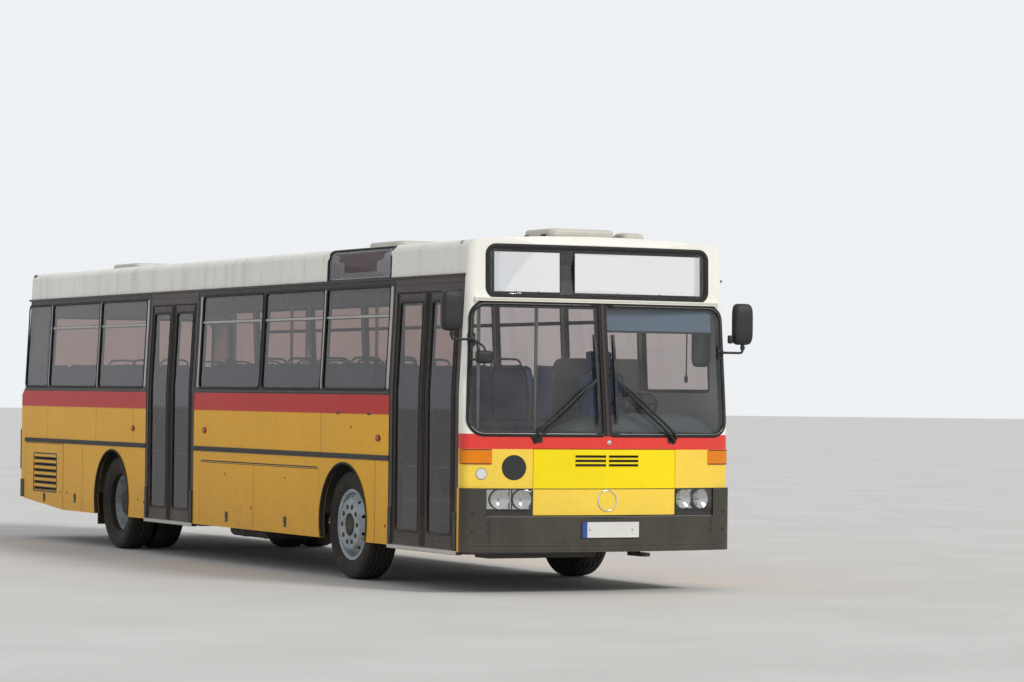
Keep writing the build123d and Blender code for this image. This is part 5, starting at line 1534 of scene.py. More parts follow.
# roof: hatches as (middle y, length, width)
ROOF_HATCHES = ((4.900, 0.760, 0.700), (-2.000, 0.700, 0.700), (-5.020, 0.520, 0.620))
ROOF_SEAMS_Y, ROOF_RIB_X = (-4.2, -2.9, -1.1, 0.3, 1.7, 3.1, 4.3), 0.86


def roof_details():
    """Lips and catches of the hatches, a small closed ventilator, seams and two ribs."""
    roof = Piece()
    for centre, length, width in ROOF_HATCHES:
        across, along = width / 2 + 0.012, (centre - length / 2 - 0.012, centre + length / 2 + 0.012)
        roof.ring(box_outline((-across, across), along, 0.08, 0.08, 7), on_roof, hump(0.030, 0.012))
        for s in (-1, 1):
            for share in (-0.3, 0.3):
                spot = on_roof(s * across, centre + length * share)[0]
                catch_z = (spot.z - 0.005, spot.z + 0.030)
                roof.box(around(spot.x, 0.018), around(spot.y, 0.022), catch_z, 0, 0.005)
    base = box_outline((0.375, 0.585), (-5.29, -5.09), 0.045, 0.05, 7)
    roof.add(plate(base, on_roof, -0.004, 0.060, 0.016, dome=0.008), 2)
    roof.ring(shrunk(base, -0.006), on_roof, hump(0.018, 0.008))
    for y in ROOF_SEAMS_Y:
        roof.trim(arc_on(on_roof, 1.02, y, 0.0, 24), flat(0.030, 0.0018, -0.001, 0.0006), 1)
    for s in (-1, 1):
        rib = [on_roof(s * ROOF_RIB_X, -5.35 + 10.75 * k / 60) for k in range(61)]
        roof.trim(rib, hump(0.020, 0.006), 1)
    roof.build("roof_details", ["rubber", "roof_paint", "pale_plastic"], slot="white paint")


roof_details()

# tail
REAR_WINDOW = [(-0.985, 1.745), (0.985, 1.745), (0.985, 2.440), (-0.985, 2.440)]
CLUSTER_X, CLUSTER_Z, CLUSTER_PARTS_Z = (1.004, 1.232), (0.754, 1.186), (0.900, 1.040)
HATCH_SLOT_X = 0.622


def tail_details():
    """Rear window seals, gutter, lamp cluster frames, round lamps and the bare rear plate."""
    rear = Piece()
    window = rounded(REAR_WINDOW, 0.09, 0.06)
    rear.ring(shrunk(window, -0.006), on_tail, hump(0.036, 0.009, -0.010))
    rear.ring(shrunk(window, 0.010), on_tail, hump(0.030, 0.004), out=-0.036)
    rear.strip(on_tail, (-1.14, 2.598), (1.14, 2.598), hump(0.016, 0.008))
    rear.strip(on_tail, (-1.12, 0.642), (1.12, 0.642), flat(0.010, 0.004))
    for s in (-1, 1):
        frame_line = box_outline((s * CLUSTER_X[0], s * CLUSTER_X[1]), CLUSTER_Z, 0.012, 0.04, 3)
        rear.ring(frame_line, on_tail, flat(0.012, 0.012, -0.002, 0.002), 1)
        for z in CLUSTER_PARTS_Z:
            rear.strip(on_tail, (s * 1.010, z), (s * 1.222, z), flat(0.008, 0.0105, 0.004, 0.001), 1)
        for z in (0.772, 1.168):
            for x in (1.035, 1.200):
                rear.screw(on_tail(s * x, z, 0.008), 2, 0.005, 0.003, 12)
        lamp = [(-0.002, 0.0), (-0.002, 0.030), (0.006, 0.029), (0.012, 0.022), (0.014, 0.0)]
        rear.head(lamp, on_tail(s * 1.06, 2.52), 3, 26)
        reflector = [(-0.002, 0.0), (-0.002, 0.036), (0.005, 0.035), (0.008, 0.028), (0.008, 0.0)]
        rear.head(reflector, on_tail(s * 1.115, 0.700), 3, 28)
    rear.patch(on_tail, (-0.26, 0.26), (0.500, 0.618), (0.006, 0.016), 0.004, 4, 0.001, 0.06, 2)
    for x in (-0.30, 0.30):
        y = tail_y(x, 0.6)
        rear.box(around(x, 0.025), (y + 0.002, y + 0.020), (0.596, 0.622), 1)
    finishes = ["rubber", "black_plastic", "steel", "red_lens", "plate_white"]
    rear.build("tail_details", finishes, slot="black plastic", sharp=50)


def engine_hatch_details():
    """A near-black backing behind the hatch's louvres as painted shade, vanes behind the louvres, two handles
    and three hinge knuckles.
    """
    hatch = Piece()
    # a near-black sheet behind the louvres: painted shade
    grid = [Vector((x, tail_y(x, 0.9) - 0.034, z)) for z in (0.745, 1.045) for x in (-0.64, 0.0, 0.64)]
    hatch.add((grid, quads(2, 3, False, False)), 1)
    for row in range(5):
        z = 0.760 + row * 0.060
        for k in range(2):
            vane = [on_tail(x, z + 0.003 + 0.014 * k, -0.012) for x in (-HATCH_SLOT_X, 0.0, HATCH_SLOT_X)]
            hatch.trim(vane, [(0.009, -0.006), (0.009, -0.004), (-0.009, 0.008), (-0.009, 0.006)])
        hatch.strip(on_tail, (-0.626, z + 0.034), (0.626, z + 0.034), flat(0.007, 0.004, -0.002, 0.001))
    for x in (-0.70, 0.70):
        hatch.patch(on_tail, around(x, 0.05), (0.690, 0.740), (-0.001, 0.006), 0.010, 2, step=0.04)
        spot = on_tail(x, 0.715, 0.006)[0]
        grip = ((-0.035, -0.004, 0), (-0.025, 0.010, 0), (0.025, 0.010, 0), (0.035, -0.004, 0))
        hatch.bar([spot + Vector(shift) for shift in grip], 0.005, 2, 8, 5)
    for x in (-0.62, 0.0, 0.62):
        y = tail_y(x, 1.53) + 0.002
        hatch.bar([(x - 0.05, y, 1.528), (x + 0.05, y, 1.528)], 0.006, 2)
    finishes = ["tail_paint", "slot_black", "black_plastic"]
    hatch.build("engine_hatch_details", finishes, "engine_hatch_body", "yellow paint")


tail_details()
engine_hatch_details()

# underneath
RAIL_BOTTOM_Z = 0.703
AIR_SPRING = [(0, 0.0), (0, 0.075), (0.012, 0.100), (0.035, 0.112), (0.058, 0.100), (0.066, 0.092),
              (0.074, 0.100), (0.098, 0.112), (0.120, 0.100), (0.134, 0.075), (0.134, 0.0)]
AIR_SPRING_HEIGHT, REAR_SPRING_X, FRONT_SPRING_X = 0.134, 0.39, 0.50
FUEL_STRAP = ((-1.123, 0.32), (-1.062, 0.2605), (-0.558, 0.2605), (-0.497, 0.32), (-0.497, 0.50),
              (-0.558, 0.5615), (-1.062, 0.5615), (-1.123, 0.50))
FLAP_Y = REAR_AXLE + 0.583


def circle(radius):
    """Pairs (radius * cos, radius * sin) once round."""
    return [(radius * cos(2 * pi * k / 32), radius * sin(2 * pi * k / 32)) for k in range(32)]


def tank(under, centre, axis, radius, length, kind=0):
    half = length / 2
    end = [(half, 0.0), (half, radius * 0.35), (half - radius * 0.12, radius * 0.75),
           (half - radius * 0.35, radius)]
    under.head([(-a, r) for a, r in end] + end[::-1], (centre, axis), kind, 30)


def air_tanks(under):
    for y in (0.95, 1.35):
        tank(under, (0.0, y, 0.560), X_AXIS, 0.115, 0.62)
        for x in (-0.2, 0.2):
            under.band([(x, y + a, 0.560 + b) for a, b in circle(0.118)], 0.006, 1)
            under.box(around(x, 0.018), around(y, 0.006), (0.670, RAIL_BOTTOM_Z), 1, 0.002)
    tank(under, (0.80, -0.30, 0.500), Y_AXIS, 0.120, 0.80)
    for y in (-0.55, -0.05):
        under.box((0.782, 0.818), around(y, 0.012), (0.60, RAIL_BOTTOM_Z), 1, 0.003)
        under.band([(0.80 + a, y, 0.500 + b) for a, b in circle(0.123)], 0.006, 1)


def exhaust(under):
    """Silencer beside the engine and its pipe, out under the tail."""
    tank(under, (0.800, 4.65, 0.560), Y_AXIS, 0.135, 0.95, 1)
    under.bar([(0.34, 4.35, 0.62), (0.50, 4.22, 0.60), (0.72, 4.12, 0.565), (0.80, 4.20, 0.56)], 0.045, 1,
              16, 6)
    pipe = [(0.80, 5.08, 0.56), (0.80, 5.28, 0.545), (0.86, 5.45, 0.490), (0.90, 5.60, 0.425),
            (0.91, 5.68, 0.415)]
    under.bar(pipe, 0.038, 1, 16, 6)
    for y in (4.35, 4.95):
        under.box((0.785, 0.815), around(y, 0.012), (0.685, 1.003), 1, 0.003)


def suspension(under):
    """Air springs at both axles, the rear beams under them, and the front dampers."""
    for y, low, high in ((REAR_AXLE - 0.42, 0.42, 0.578), (REAR_AXLE + 0.42, 0.42, 0.578),
                         (FRONT_AXLE, 0.445, 0.579)):
        for s in (-1, 1):
            x = s * (FRONT_SPRING_X if y == FRONT_AXLE else REAR_SPRING_X)
            scale = (high - low) / AIR_SPRING_HEIGHT
            under.head([(a * scale, r) for a, r in AIR_SPRING], ((x, y, low), Z_AXIS), 2, 28)
    for s in (-1, 1):
        x = s * REAR_SPRING_X
        beam = [(x, REAR_AXLE - 0.50, 0.405), (x, REAR_AXLE, 0.400), (x, REAR_AXLE + 0.50, 0.405)]
        under.bar(beam, 0.028, parts=6)
        x = s * FRONT_SPRING_X
        under.bar([(x, FRONT_AXLE + 0.02, 0.425), (x, FRONT_AXLE - 0.02, 0.425)], 0.05, 0, 16)
        under.bar([(s * 0.56, FRONT_AXLE + 0.16, 0.40), (x, FRONT_AXLE + 0.20, 0.70)], [0.022, 0.032], 0, 14)


def engine_and_lines(under):
    """Shaft flange, ribs of the engine pan, the round sump, and brake and air lines along the rails."""
    flange = [(-0.05, 0.0), (-0.05, 0.085), (0.05, 0.085), (0.05, 0.0)]
    under.head(flange, ((0.0, 3.05, HUB), Y_AXIS), 0, 26)
    for k in range(5):
        under.box((-0.335, 0.335), around(4.15 + k * 0.24, 0.012), (0.384, 0.460), 3, 0.006)
    sump = [(-0.10, 0.0), (-0.10, 0.06), (0.0, 0.075), (0.10, 0.06), (0.10, 0.0)]
    under.head(sump, ((0.10, 4.95, 0.415), Y_AXIS), 3, 24)
    for s, z in ((-1, 0.600), (-1, 0.622), (1, 0.605)):
        run = [(s * 0.340, -4.6 + 7.0 * k / 12, z + 0.004 * sin(k * 2.1)) for k in range(13)]
        under.bar(run, 0.006, 4, 6)


def fuel_tank_fittings(under):
    """The filler's cap and two straps."""
    cap = [(0.0, 0.0), (0.0, 0.045), (0.03, 0.045), (0.034, 0.04), (0.034, 0.0)]
    under.head(cap, ((-1.118, -0.85, 0.48), (-1, 0, 0)), 1, 20)
    for y in (-0.95, -0.45):
        under.band([(x, y, z) for x, z in FUEL_STRAP], 0.005, 1)


def underbody_equipment():
    under = Piece()
    for make in (air_tanks, exhaust, suspension, engine_and_lines, fuel_tank_fittings):
        make(under)
    # two dark boxes behind the bumper, which show below it from the front
    under.box((-0.945, -0.445), (-5.47, -5.20), (0.285, 0.330), 4, 0.012)
    under.box((-0.445, 0.070), (-5.45, -5.18), (0.285, 0.560), 4, 0.022, 3)
    finishes = ["chassis_paint", "cast_iron", "rubber", "engine_block", "black_plastic"]
    under.build("underbody_equipment", finishes, slot="chassis paint", sharp=40)


def mudflap_details():
    """Bolts, the clamping bar and the ribs of both rear mudflaps."""
    def on_flap(x, z, out=0.0):
        return Vector((x, FLAP_Y + out, z)), Y_AXIS

    flaps = Piece()
    for s in (-1, 1):
        for x in (0.65, 0.885, 1.12):
            flaps.screw(on_flap(s * x, 0.66), 1, 0.010, 0.006)
        flaps.box((s * 0.60, s * 1.17), (REAR_AXLE + 0.582, REAR_AXLE + 0.587), (0.655, 0.690), 1, 0.001)
        for k in range(8):
            x = s * (0.63 + k * 0.072)
            flaps.strip(on_flap, (x, 0.25), (x, 0.63), hump(0.010, 0.002, -0.001, 4))
    flaps.build("mudflap_details", ["rubber", "steel"], slot="rail rubber")


underbody_equipment()
mudflap_details()

# soft pads
PAD_PARTS, PINCH = 24, 0.03
SWELL_STEPS, PRESSURE, STIFFNESS = 20, 4.0, 20.0
CROWN_RISE, CHANNEL_DEPTH, CHANNEL_WIDTH = 0.010, 0.007, 0.008
PIPING_PARTS, PIPING_RADIUS = 56, 0.0035


def evaluated(obj):
    """A mesh with the object's modifiers applied."""
    bpy.context.view_layer.update()
    return bpy.data.meshes.new_from_object(obj.evaluated_get(bpy.context.evaluated_depsgraph_get()))


def baked(obj):
    """Applies the object's modifiers to its own mesh."""
    mesh = evaluated(obj)
    obj.modifiers.clear()
    obj.data = mesh


def pinched(u, v, wide, deep):
    """A place on the pad for u and v from -1 to 1, its sides pulled in between the corners."""
    return (u * wide / 2 * (1 - PINCH * (1 - v * v) * u * u),
            v * deep / 2 * (1 - PINCH * (1 - u * u) * v * v))


def pad_start(wide, deep, thick):
    """A rounded pad lying on z = 0."""
    n = PAD_PARTS
    points, faces = [], []
    for layer in (1, 0):
        for i in range(n + 1):
            for j in range(n + 1):
                u, v = 2 * i / n - 1, 2 * j / n - 1
                rim = (1 - abs(u) ** 7) ** 0.5 * (1 - abs(v) ** 7) ** 0.5
                points.append((*pinched(u, v, wide, deep), thick * (0.30 + 0.70 * rim) if layer else 0.0))
    row, size = n + 1, (n + 1) * (n + 1)
    for i in range(n):
        for j in range(n):
            a = i * row + j
            faces.append((a, a + row, a + row + 1, a + 1))
            faces.append((size + a, size + a + 1, size + a + row + 1, size + a + row))
    edge = [i * row for i in range(n)] + [n * row + j for j in range(n)]
    edge += [i * row + n for i in range(n, 0, -1)] + list(range(n, 0, -1))
    for k, a in enumerate(edge):
        b = edge[(k + 1) % len(edge)]
        faces.append((a, b, size + b, size + a))
    return points, faces


def swell(obj, thick):
    """Blows the pad up by cloth simulation, its underside pinned."""
    pins = obj.vertex_groups.new(name="pin")
    pins.add([v.index for v in obj.data.vertices if v.co.z < thick * 0.12], 1.0, "REPLACE")
    cloth = obj.modifiers.new("cloth", "CLOTH")
    cloth.settings.use_pressure = True
    cloth.settings.uniform_pressure_force = PRESSURE
    cloth.settings.vertex_group_mass = "pin"
    cloth.settings.tension_stiffness = STIFFNESS
    cloth.settings.compression_stiffness = STIFFNESS
    cloth.settings.effector_weights.gravity = 0.0
    cloth.point_cache.frame_start = 1
    cloth.point_cache.frame_end = SWELL_STEPS
    for step in range(1, SWELL_STEPS + 1):
        SCENE.frame_set(step)
    baked(obj)
    SCENE.frame_set(1)


def sew(mesh, before, wide, deep, thick, channels, cap):
    """Limits how far the cloth has swelled, crowns the top and draws the channels in."""
    for v, start in zip(mesh.vertices, before):
        move = v.co - start
        if move.length > cap:
            v.co = start + move.normalized() * cap
        u, w = v.co.x / (wide / 2), v.co.y / (deep / 2)
        if v.co.z > thick * 0.3:
            v.co.z += CROWN_RISE * max(0.0, 1 - u * u) * max(0.0, 1 - w * w)
            for across, at in channels:
                d = (v.co.y if across else v.co.x) - at
                v.co.z -= CHANNEL_DEPTH * 2.718 ** (-(d / CHANNEL_WIDTH) ** 2)


def piping(wide, deep, thick):
    """A cord round the pad's widest line."""
    loop = []
    for k in range(PIPING_PARTS):
        u, w = squarish(2 * pi * k / PIPING_PARTS, 0.25)
        x, y = pinched(u, w, wide, deep)
        loop.append(Vector((x + 0.002 * u, y + 0.002 * w, thick * 0.45)))
    return tube(loop, PIPING_RADIUS, 5, closed=True)


def pad_mesh(name, wide, deep, thick, channels=(), cap=0.012, triangles=1500):
    """A stuffed pad: swelled by cloth simulation, then its channels sewn in and its edge piped."""
    obj = linked(name + "_work", mesh_of(name, *pad_start(wide, deep, thick)))
    remesh = obj.modifiers.new("remesh", "REMESH")
    remesh.mode, remesh.voxel_size = "VOXEL", 0.006
    baked(obj)
    before = [v.co.copy() for v in obj.data.vertices]
    swell(obj, thick)
    sew(obj.data, before, wide, deep, thick, channels, cap)
    less = obj.modifiers.new("less", "DECIMATE")
    less.ratio = min(1.0, triangles / (2 * len(obj.data.polygons)))
    done = evaluated(obj)
    bpy.data.objects.remove(obj)
    whole = Piece().add(([v.co.copy() for v in done.vertices], [tuple(p.vertices) for p in done.polygons]))
    whole.add(piping(wide, deep, thick), 1)
    mesh = mesh_of(name, whole.points, whole.faces)
    mesh.polygons.foreach_set("material_index", whole.kinds)
    for finish in ("seat_fabric", "piping"):
        mesh.materials.append(FINISHES[finish])
    mesh.shade_smooth()
    mesh.set_sharp_from_angle(angle=radians(60))
    return mesh


def set_pad(name, mesh, spot, tilt, replaces="seats"):
    pad = hang(name, mesh, replaces=[replaces])
    pad.matrix_world = Matrix.Translation(spot) @ Matrix.Rotation(radians(tilt), 4, "X")


# seats: the bucket's line from front to top, as (y, z), and its half widths
SEAT_LINE = [
    (-0.440, 0.385), (-0.447, 0.404), (-0.436, 0.420), (-0.400, 0.423), (-0.250, 0.418), (-0.120, 0.414),
    (-0.066, 0.419), (-0.042, 0.440), (-0.029, 0.480), (-0.012, 0.600), (0.006, 0.750), (0.024, 0.900),
    (0.034, 0.972), (0.040, 0.996)]
SEAT_HALF = [0.170, 0.190, 0.202, 0.210, 0.213, 0.213, 0.213, 0.213, 0.213, 0.212, 0.204, 0.184, 0.166, 0.128]
SEAT_PARTS, SHELL_THICK, SEAT_BASE_Z = 12, 0.009, 0.900
# rows as (y, height of the floor below)
SEAT_ROWS = ((-2.850, 1.045), (-2.100, 0.900), (-1.350, 0.900), (-0.600, 0.900), (0.150, 0.900),
             (2.800, 1.045), (3.640, 0.740), (4.380, 1.040))
DRIVER_SIDE_ROWS = SEAT_ROWS + ((0.900, 0.900), (1.650, 0.900))
PAIR_X, SEAT_APART, BENCH_Y, BENCH_PITCH = 0.750, 0.220, 5.420, 0.472
PAIRS = [(-PAIR_X, y, foot) for y, foot in SEAT_ROWS] + [(PAIR_X, y, foot) for y, foot in DRIVER_SIDE_ROWS]
BENCH_FRAMES = [(x, BENCH_Y, 1.040) for x in (-0.79, 0.0, 0.79)]
SEAT_RAILS_Y, WALL_X = (-0.345, -0.115), 1.202


def seat_shell():
    """One moulded bucket: a swept sheet with raised sides."""
    front, back = [], []
    for i, ((y, z), half) in enumerate(zip(SEAT_LINE, SEAT_HALF)):
        y0, z0 = SEAT_LINE[max(i - 1, 0)]
        y1, z1 = SEAT_LINE[min(i + 1, len(SEAT_LINE) - 1)]
        run = Vector((0, y1 - y0, z1 - z0)).normalized()
        face = Vector((0, -run.z, run.y))
        for k in range(SEAT_PARTS + 1):
            u = 2 * k / SEAT_PARTS - 1
            spot = Vector((u * half, y, z)) + face * (0.024 * abs(u) ** 4)
            front.append(spot)
            back.append(spot - face * SHELL_THICK)
    n, rows = SEAT_PARTS + 1, len(SEAT_LINE)
    faces, size = [], len(front)
    for i in range(rows - 1):
        for k in range(SEAT_PARTS):
            a = i * n + k
            faces.append((a, a + 1, a + n + 1, a + n))
            faces.append((size + a, size + a + n, size + a + n + 1, size + a + 1))
    edge = list(range(n)) + [i * n + SEAT_PARTS for i in range(1, rows)]
    edge += [(rows - 1) * n + k for k in range(SEAT_PARTS - 1, -1, -1)]
    edge += [i * n for i in range(rows - 2, 0, -1)]
    for k, a in enumerate(edge):
        b = edge[(k + 1) % len(edge)]
        faces.append((a, size + a, size + b, b))
    return front + back, faces


def passenger_seats(shell):
    """41 buckets in one piece, each with its own cushion and back."""
    cushion = pad_mesh("seat_cushion_mesh", 0.372, 0.350, 0.036, ((True, 0.075),))
    back = pad_mesh("seat_back_mesh", 0.352, 0.470, 0.034, ((True, 0.130), (True, -0.120)))
    places = [(x + side * SEAT_APART, y) for x, y, foot in PAIRS for side in (-1, 1)]
    places += [(k * BENCH_PITCH, BENCH_Y) for k in (-2, -1, 0, 1, 2)]
    shells = Piece()
    for number, (x, y) in enumerate(places, 1):
        shells.add(shell, 0, Matrix.Translation((x, y, SEAT_BASE_Z)))
        set_pad("seat_cushion_%02d" % number, cushion, (x, y - 0.245, 1.323), -1)
        set_pad("seat_back_%02d" % number, back, (x, y - 0.006, 1.632), 83)
    shells.build("seat_shells", ["seat_shell_plastic"], slot="bumper grey", replaces=["seats"], sharp=50)


def seat_pedestal(frames, x, y, foot):
    """The foot of one pair: a post on a bolted plate."""
    frames.box(around(x, 0.045), (y - 0.285, y - 0.135), (foot + 0.010, 1.290), 0, 0.014, 3)
    frames.box(around(x, 0.085), (y - 0.330, y - 0.090), (foot, foot + 0.011))
    for bolt_x in (-0.068, 0.068):
        for bolt_y in (-0.310, -0.110):
            frames.screw(((x + bolt_x, y + bolt_y, foot + 0.010), Z_AXIS), 1, 0.010, 0.007)


def wall_rails_and_handle(frames, x, y):
    """Rails from a pair to the side wall, and the grab handle over its aisle seat."""
    inner = -1 if x > 0 else 1
    for rail_y in SEAT_RAILS_Y:
        span = sorted((x - inner * 0.425, -inner * WALL_X))
        frames.box(span, around(y + rail_y, 0.012), (1.286, 1.306), 0, 0.003)
    a, b = x + inner * 0.075, x + inner * 0.375
    hoop = [(a, y + 0.030, 1.800), (a, y + 0.048, 1.900), (a + inner * 0.02, y + 0.053, 1.935),
            (a + inner * 0.06, y + 0.055, 1.950), (b - inner * 0.06, y + 0.055, 1.950),
            (b - inner * 0.02, y + 0.053, 1.935), (b, y + 0.048, 1.900), (b, y + 0.030, 1.760)]
    frames.bar(hoop, 0.011, 2, 8, 3)


def seat_frames():
    frames = Piece()
    for x, y, foot in PAIRS + BENCH_FRAMES:
        bench = y == BENCH_Y
        for rail_y in SEAT_RAILS_Y:
            reach = 0.39 if bench else 0.425
            frames.box(around(x, reach), around(y + rail_y, 0.015), (1.285, 1.308), 0, 0.005)
        seat_pedestal(frames, x, y, foot)
        if not bench:
            wall_rails_and_handle(frames, x, y)
    finishes = ["black_plastic", "steel", "steel"]
    frames.build("seat_frames", finishes, slot="bumper grey", replaces=["seats"], sharp=40)


# the driver's seat and cab
DX, DY, DZ = 0.620, -4.450, 0.820
HOOD_LOW_Z, HOOD_GAP, DIAL_Y, DIAL_Z = 1.262, 0.032, -5.398, 1.375
# the hood's crest from the door to the driver's side, as (x, z), and its section, as (y, share of the height)
HOOD_CREST = ((-0.372, 1.300), (-0.340, 1.360), (-0.200, 1.420), (-0.060, 1.460), (0.120, 1.478),
              (0.250, 1.480), (0.400, 1.480), (0.840, 1.476), (0.940, 1.455), (1.020, 1.405),
              (1.080, 1.330), (1.100, 1.275))
HOOD_SECTION = ((-5.668, 0.0), (-5.650, 0.50), (-5.610, 0.86), (-5.560, 0.98), (-5.500, 1.0), (-5.440, 0.97),
                (-5.412, 0.88), (-5.400, 0.60), (-5.396, 0.0))


def driver_seat(shell):
    driver = Piece()
    driver.add(shell, 0, Matrix.Translation((DX, DY, DZ)) @ Matrix.Diagonal((1.16, 1.0, 1.0, 1.0)))
    driver.box(around(DX, 0.19), (DY - 0.36, DY - 0.02), (0.742, 0.800), 1, 0.012, 3)
    for k in range(7):
        z = 0.815 + k * 0.052
        inset = 0.014 if k % 2 else 0.0
        fold_y = (DY - 0.335 + inset, DY - 0.045 - inset)
        driver.box((DX - 0.165 + inset, DX + 0.165 - inset), fold_y, (z - 0.022, z + 0.034), 2, 0.020, 3)
    driver.box(around(DX, 0.20), (DY - 0.37, DY - 0.02), (1.170, 1.212), 1, 0.010, 3)
    lever = [(DX + 0.22, DY - 0.10, 1.19), (DX + 0.262, DY - 0.12, 1.19), (DX + 0.268, DY - 0.20, 1.20)]
    driver.bar(lever, 0.010, 1, parts=5)
    for side in (-1, 1):
        x = DX + side * 0.07
        driver.bar([(x, DY + 0.040, 1.80), (x, DY + 0.044, 1.86)], 0.006, 3)
    finishes = ["seat_shell_plastic", "black_plastic", "rubber", "steel"]
    driver.build("driver_seat_base", finishes, slot="bumper grey", replaces=["driver_seat"], sharp=45)
    ribs = ((False, -0.135), (False, 0.135))
    cushion = pad_mesh("driver_cushion_mesh", 0.455, 0.410, 0.062, ribs, 0.016, 4000)
    set_pad("driver_seat_cushion", cushion, (DX, DY - 0.240, 1.238), -2, "driver_seat")
    ribs = ((False, -0.130), (False, 0.130), (True, -0.02))
    back = pad_mesh("driver_back_mesh", 0.440, 0.560, 0.058, ribs, 0.016, 4000)
    set_pad("driver_seat_back", back, (DX, DY - 0.010, 1.545), 83, "driver_seat")
    rest = pad_mesh("driver_headrest_mesh", 0.235, 0.165, 0.062, cap=0.012, triangles=2000)
    set_pad("driver_headrest", rest, (DX, DY + 0.058, 1.925), 86, "driver_seat")


shell = seat_shell()
passenger_seats(shell)
seat_frames()
driver_seat(shell)


def hood(cab):
    """The moulded hood over the dashboard, lower beside the door and higher at the instruments."""
    points, n, rows = [], len(HOOD_SECTION), len(HOOD_CREST)
    for x, top in HOOD_CREST:
        for y, lift in HOOD_SECTION:
            z = HOOD_LOW_Z + (top - HOOD_LOW_Z) * lift
            points.append(Vector((x, max(y, front_y(x, z) + HOOD_GAP), z)))
    ends = [tuple(range(n)), tuple((rows - 1) * n + k for k in reversed(range(n)))]
    cab.add((points, quads(rows, n, False, False) + ends), 6)


def instruments(cab):
    """Dials with their needles, switches and the ticket printer."""
    for x, r in ((0.475, 0.050), (0.620, 0.064), (0.765, 0.050)):
        place = (x, DIAL_Y, DIAL_Z), Y_AXIS
        bezel = [(-0.006, 0.0), (-0.006, r + 0.008), (0.006, r + 0.008), (0.008, r), (0.002, r - 0.003),
                 (0.002, 0.0)]
        cab.head(bezel, place, 0, 30)
        cab.head([(0.0022, 0.0), (0.0022, r - 0.004), (0.0030, r - 0.004), (0.0030, 0.0)], place, 1, 30)
        cab.box(around(x, 0.0015), (-5.3950, -5.3935), (DIAL_Z, DIAL_Z + r * 0.7), 2, 0.0004, 1)
    for k in range(8):
        x = 0.26 + k * 0.030 if k < 4 else 0.86 + (k - 4) * 0.034
        cab.box(around(x, 0.011), (-5.402, -5.388), (1.330, 1.368), 0, 0.003)
    cab.box((-0.02, 0.22), (-5.40, -5.26), (1.215, 1.420), 3, 0.016, 3)
    cab.box((0.00, 0.20), (-5.262, -5.256), (1.31, 1.40))
    cab.box((0.05, 0.15), (-5.35, -5.30), (1.418, 1.430), 0, 0.003)


def column_and_pedals(cab):
    shroud = [(DX, -5.265, 1.190), (DX, -5.180, 1.283), (DX, -5.070, 1.404)]
    cab.bar(shroud, [0.060] * 5 + [0.052] * 6, 0, 20, 5)
    for side in (-1, 1):
        stalk = [(DX + side * out, y, z) for out, y, z in
                 ((0.02, -5.085, 1.392), (0.10, -5.070, 1.425), (0.180, -5.060, 1.455))]
        cab.bar(stalk, [0.007] * 6 + [0.011] * 3, 0, 8, 4)
    for x in (0.54, 0.70):
        cab.box(around(x, 0.045), (-5.412, -5.350), (0.800, 0.960), 0, 0.012)


def blind_and_mirror(cab):
    """The roller blind over the driver's screen, an inside mirror, and the microphone on its stem."""
    blind = ((-5.520, 2.395), (-5.530, 2.300), (-5.540, 2.215), (-5.546, 2.165))
    sheet = [Vector((x, y, z)) for y, z in blind for x in (0.075, 1.085)]
    cab.add((sheet, quads(4, 2, False, False)), 4)
    cab.bar([(0.070, -5.546, 2.163), (1.090, -5.546, 2.163)], 0.009)
    cab.bar([(0.060, -5.500, 2.400), (1.100, -5.500, 2.400)], 0.026, 0, 14)
    x, y, z, wide, tall = 1.075, -5.400, 1.880, 0.17, 0.35
    add_mirror(cab, around(x, wide / 2), around(y, 0.022), (z, z + tall), 5)
    arm = [(x, y - 0.018, z + tall * 0.8), (x, y - 0.05, z + tall + 0.05), (x, y - 0.06, z + tall + 0.14)]
    cab.bar(arm, 0.008, 0, 8, 4)
    stem = [(0.990, -5.400, 2.400), (0.991, -5.330, 2.340), (0.992, -5.300, 2.180), (0.990, -5.300, 1.980),
            (0.986, -5.303, 1.800)]
    cab.bar(stem, 0.006, 0, 8, 6)
    microphone = [(-0.030, 0.0), (-0.028, 0.012), (0.0, 0.017), (0.028, 0.014), (0.034, 0.0)]
    cab.head(microphone, ((0.985, -5.304, 1.775), Z_AXIS), 0, 18)


def cab_fittings():
    cab = Piece()
    for make in (hood, instruments, column_and_pedals, blind_and_mirror):
        make(cab)
    finishes = ["black_plastic", "dial_face", "plate_white", "grey_plastic", "blind_grey", "mirror_glass",
                "dash_grey"]
    cab.build("cab_fittings", finishes, slot="black plastic", sharp=40)


# the saloon
POLES = ((-0.288, -3.890), (-0.288, -1.740), (-0.288, 0.280), (-0.288, 1.950),
         (0.288, -3.860), (0.288, -1.740), (0.288, 1.250), (0.288, 3.200))
RAIL_X_INSIDE, HANGERS_Y, LIGHT_X, PARTITION_Y = 0.288, (-3.80, -2.00, -0.20, 1.60, 3.40, 5.10), 0.56, -4.121


def ceiling_lights(saloon):
    for s in (-1, 1):
        x = s * LIGHT_X
        for k in range(7):
            y = -3.55 + k * 1.30
            z = on_roof(x, y, -0.040)[0].z
            saloon.box(around(x, 0.075), around(y, 0.52), (z - 0.060, z + 0.004), 0, 0.020, 3)
            saloon.box(around(x, 0.062), around(y, 0.50), (z - 0.066, z - 0.050), 1, 0.008)


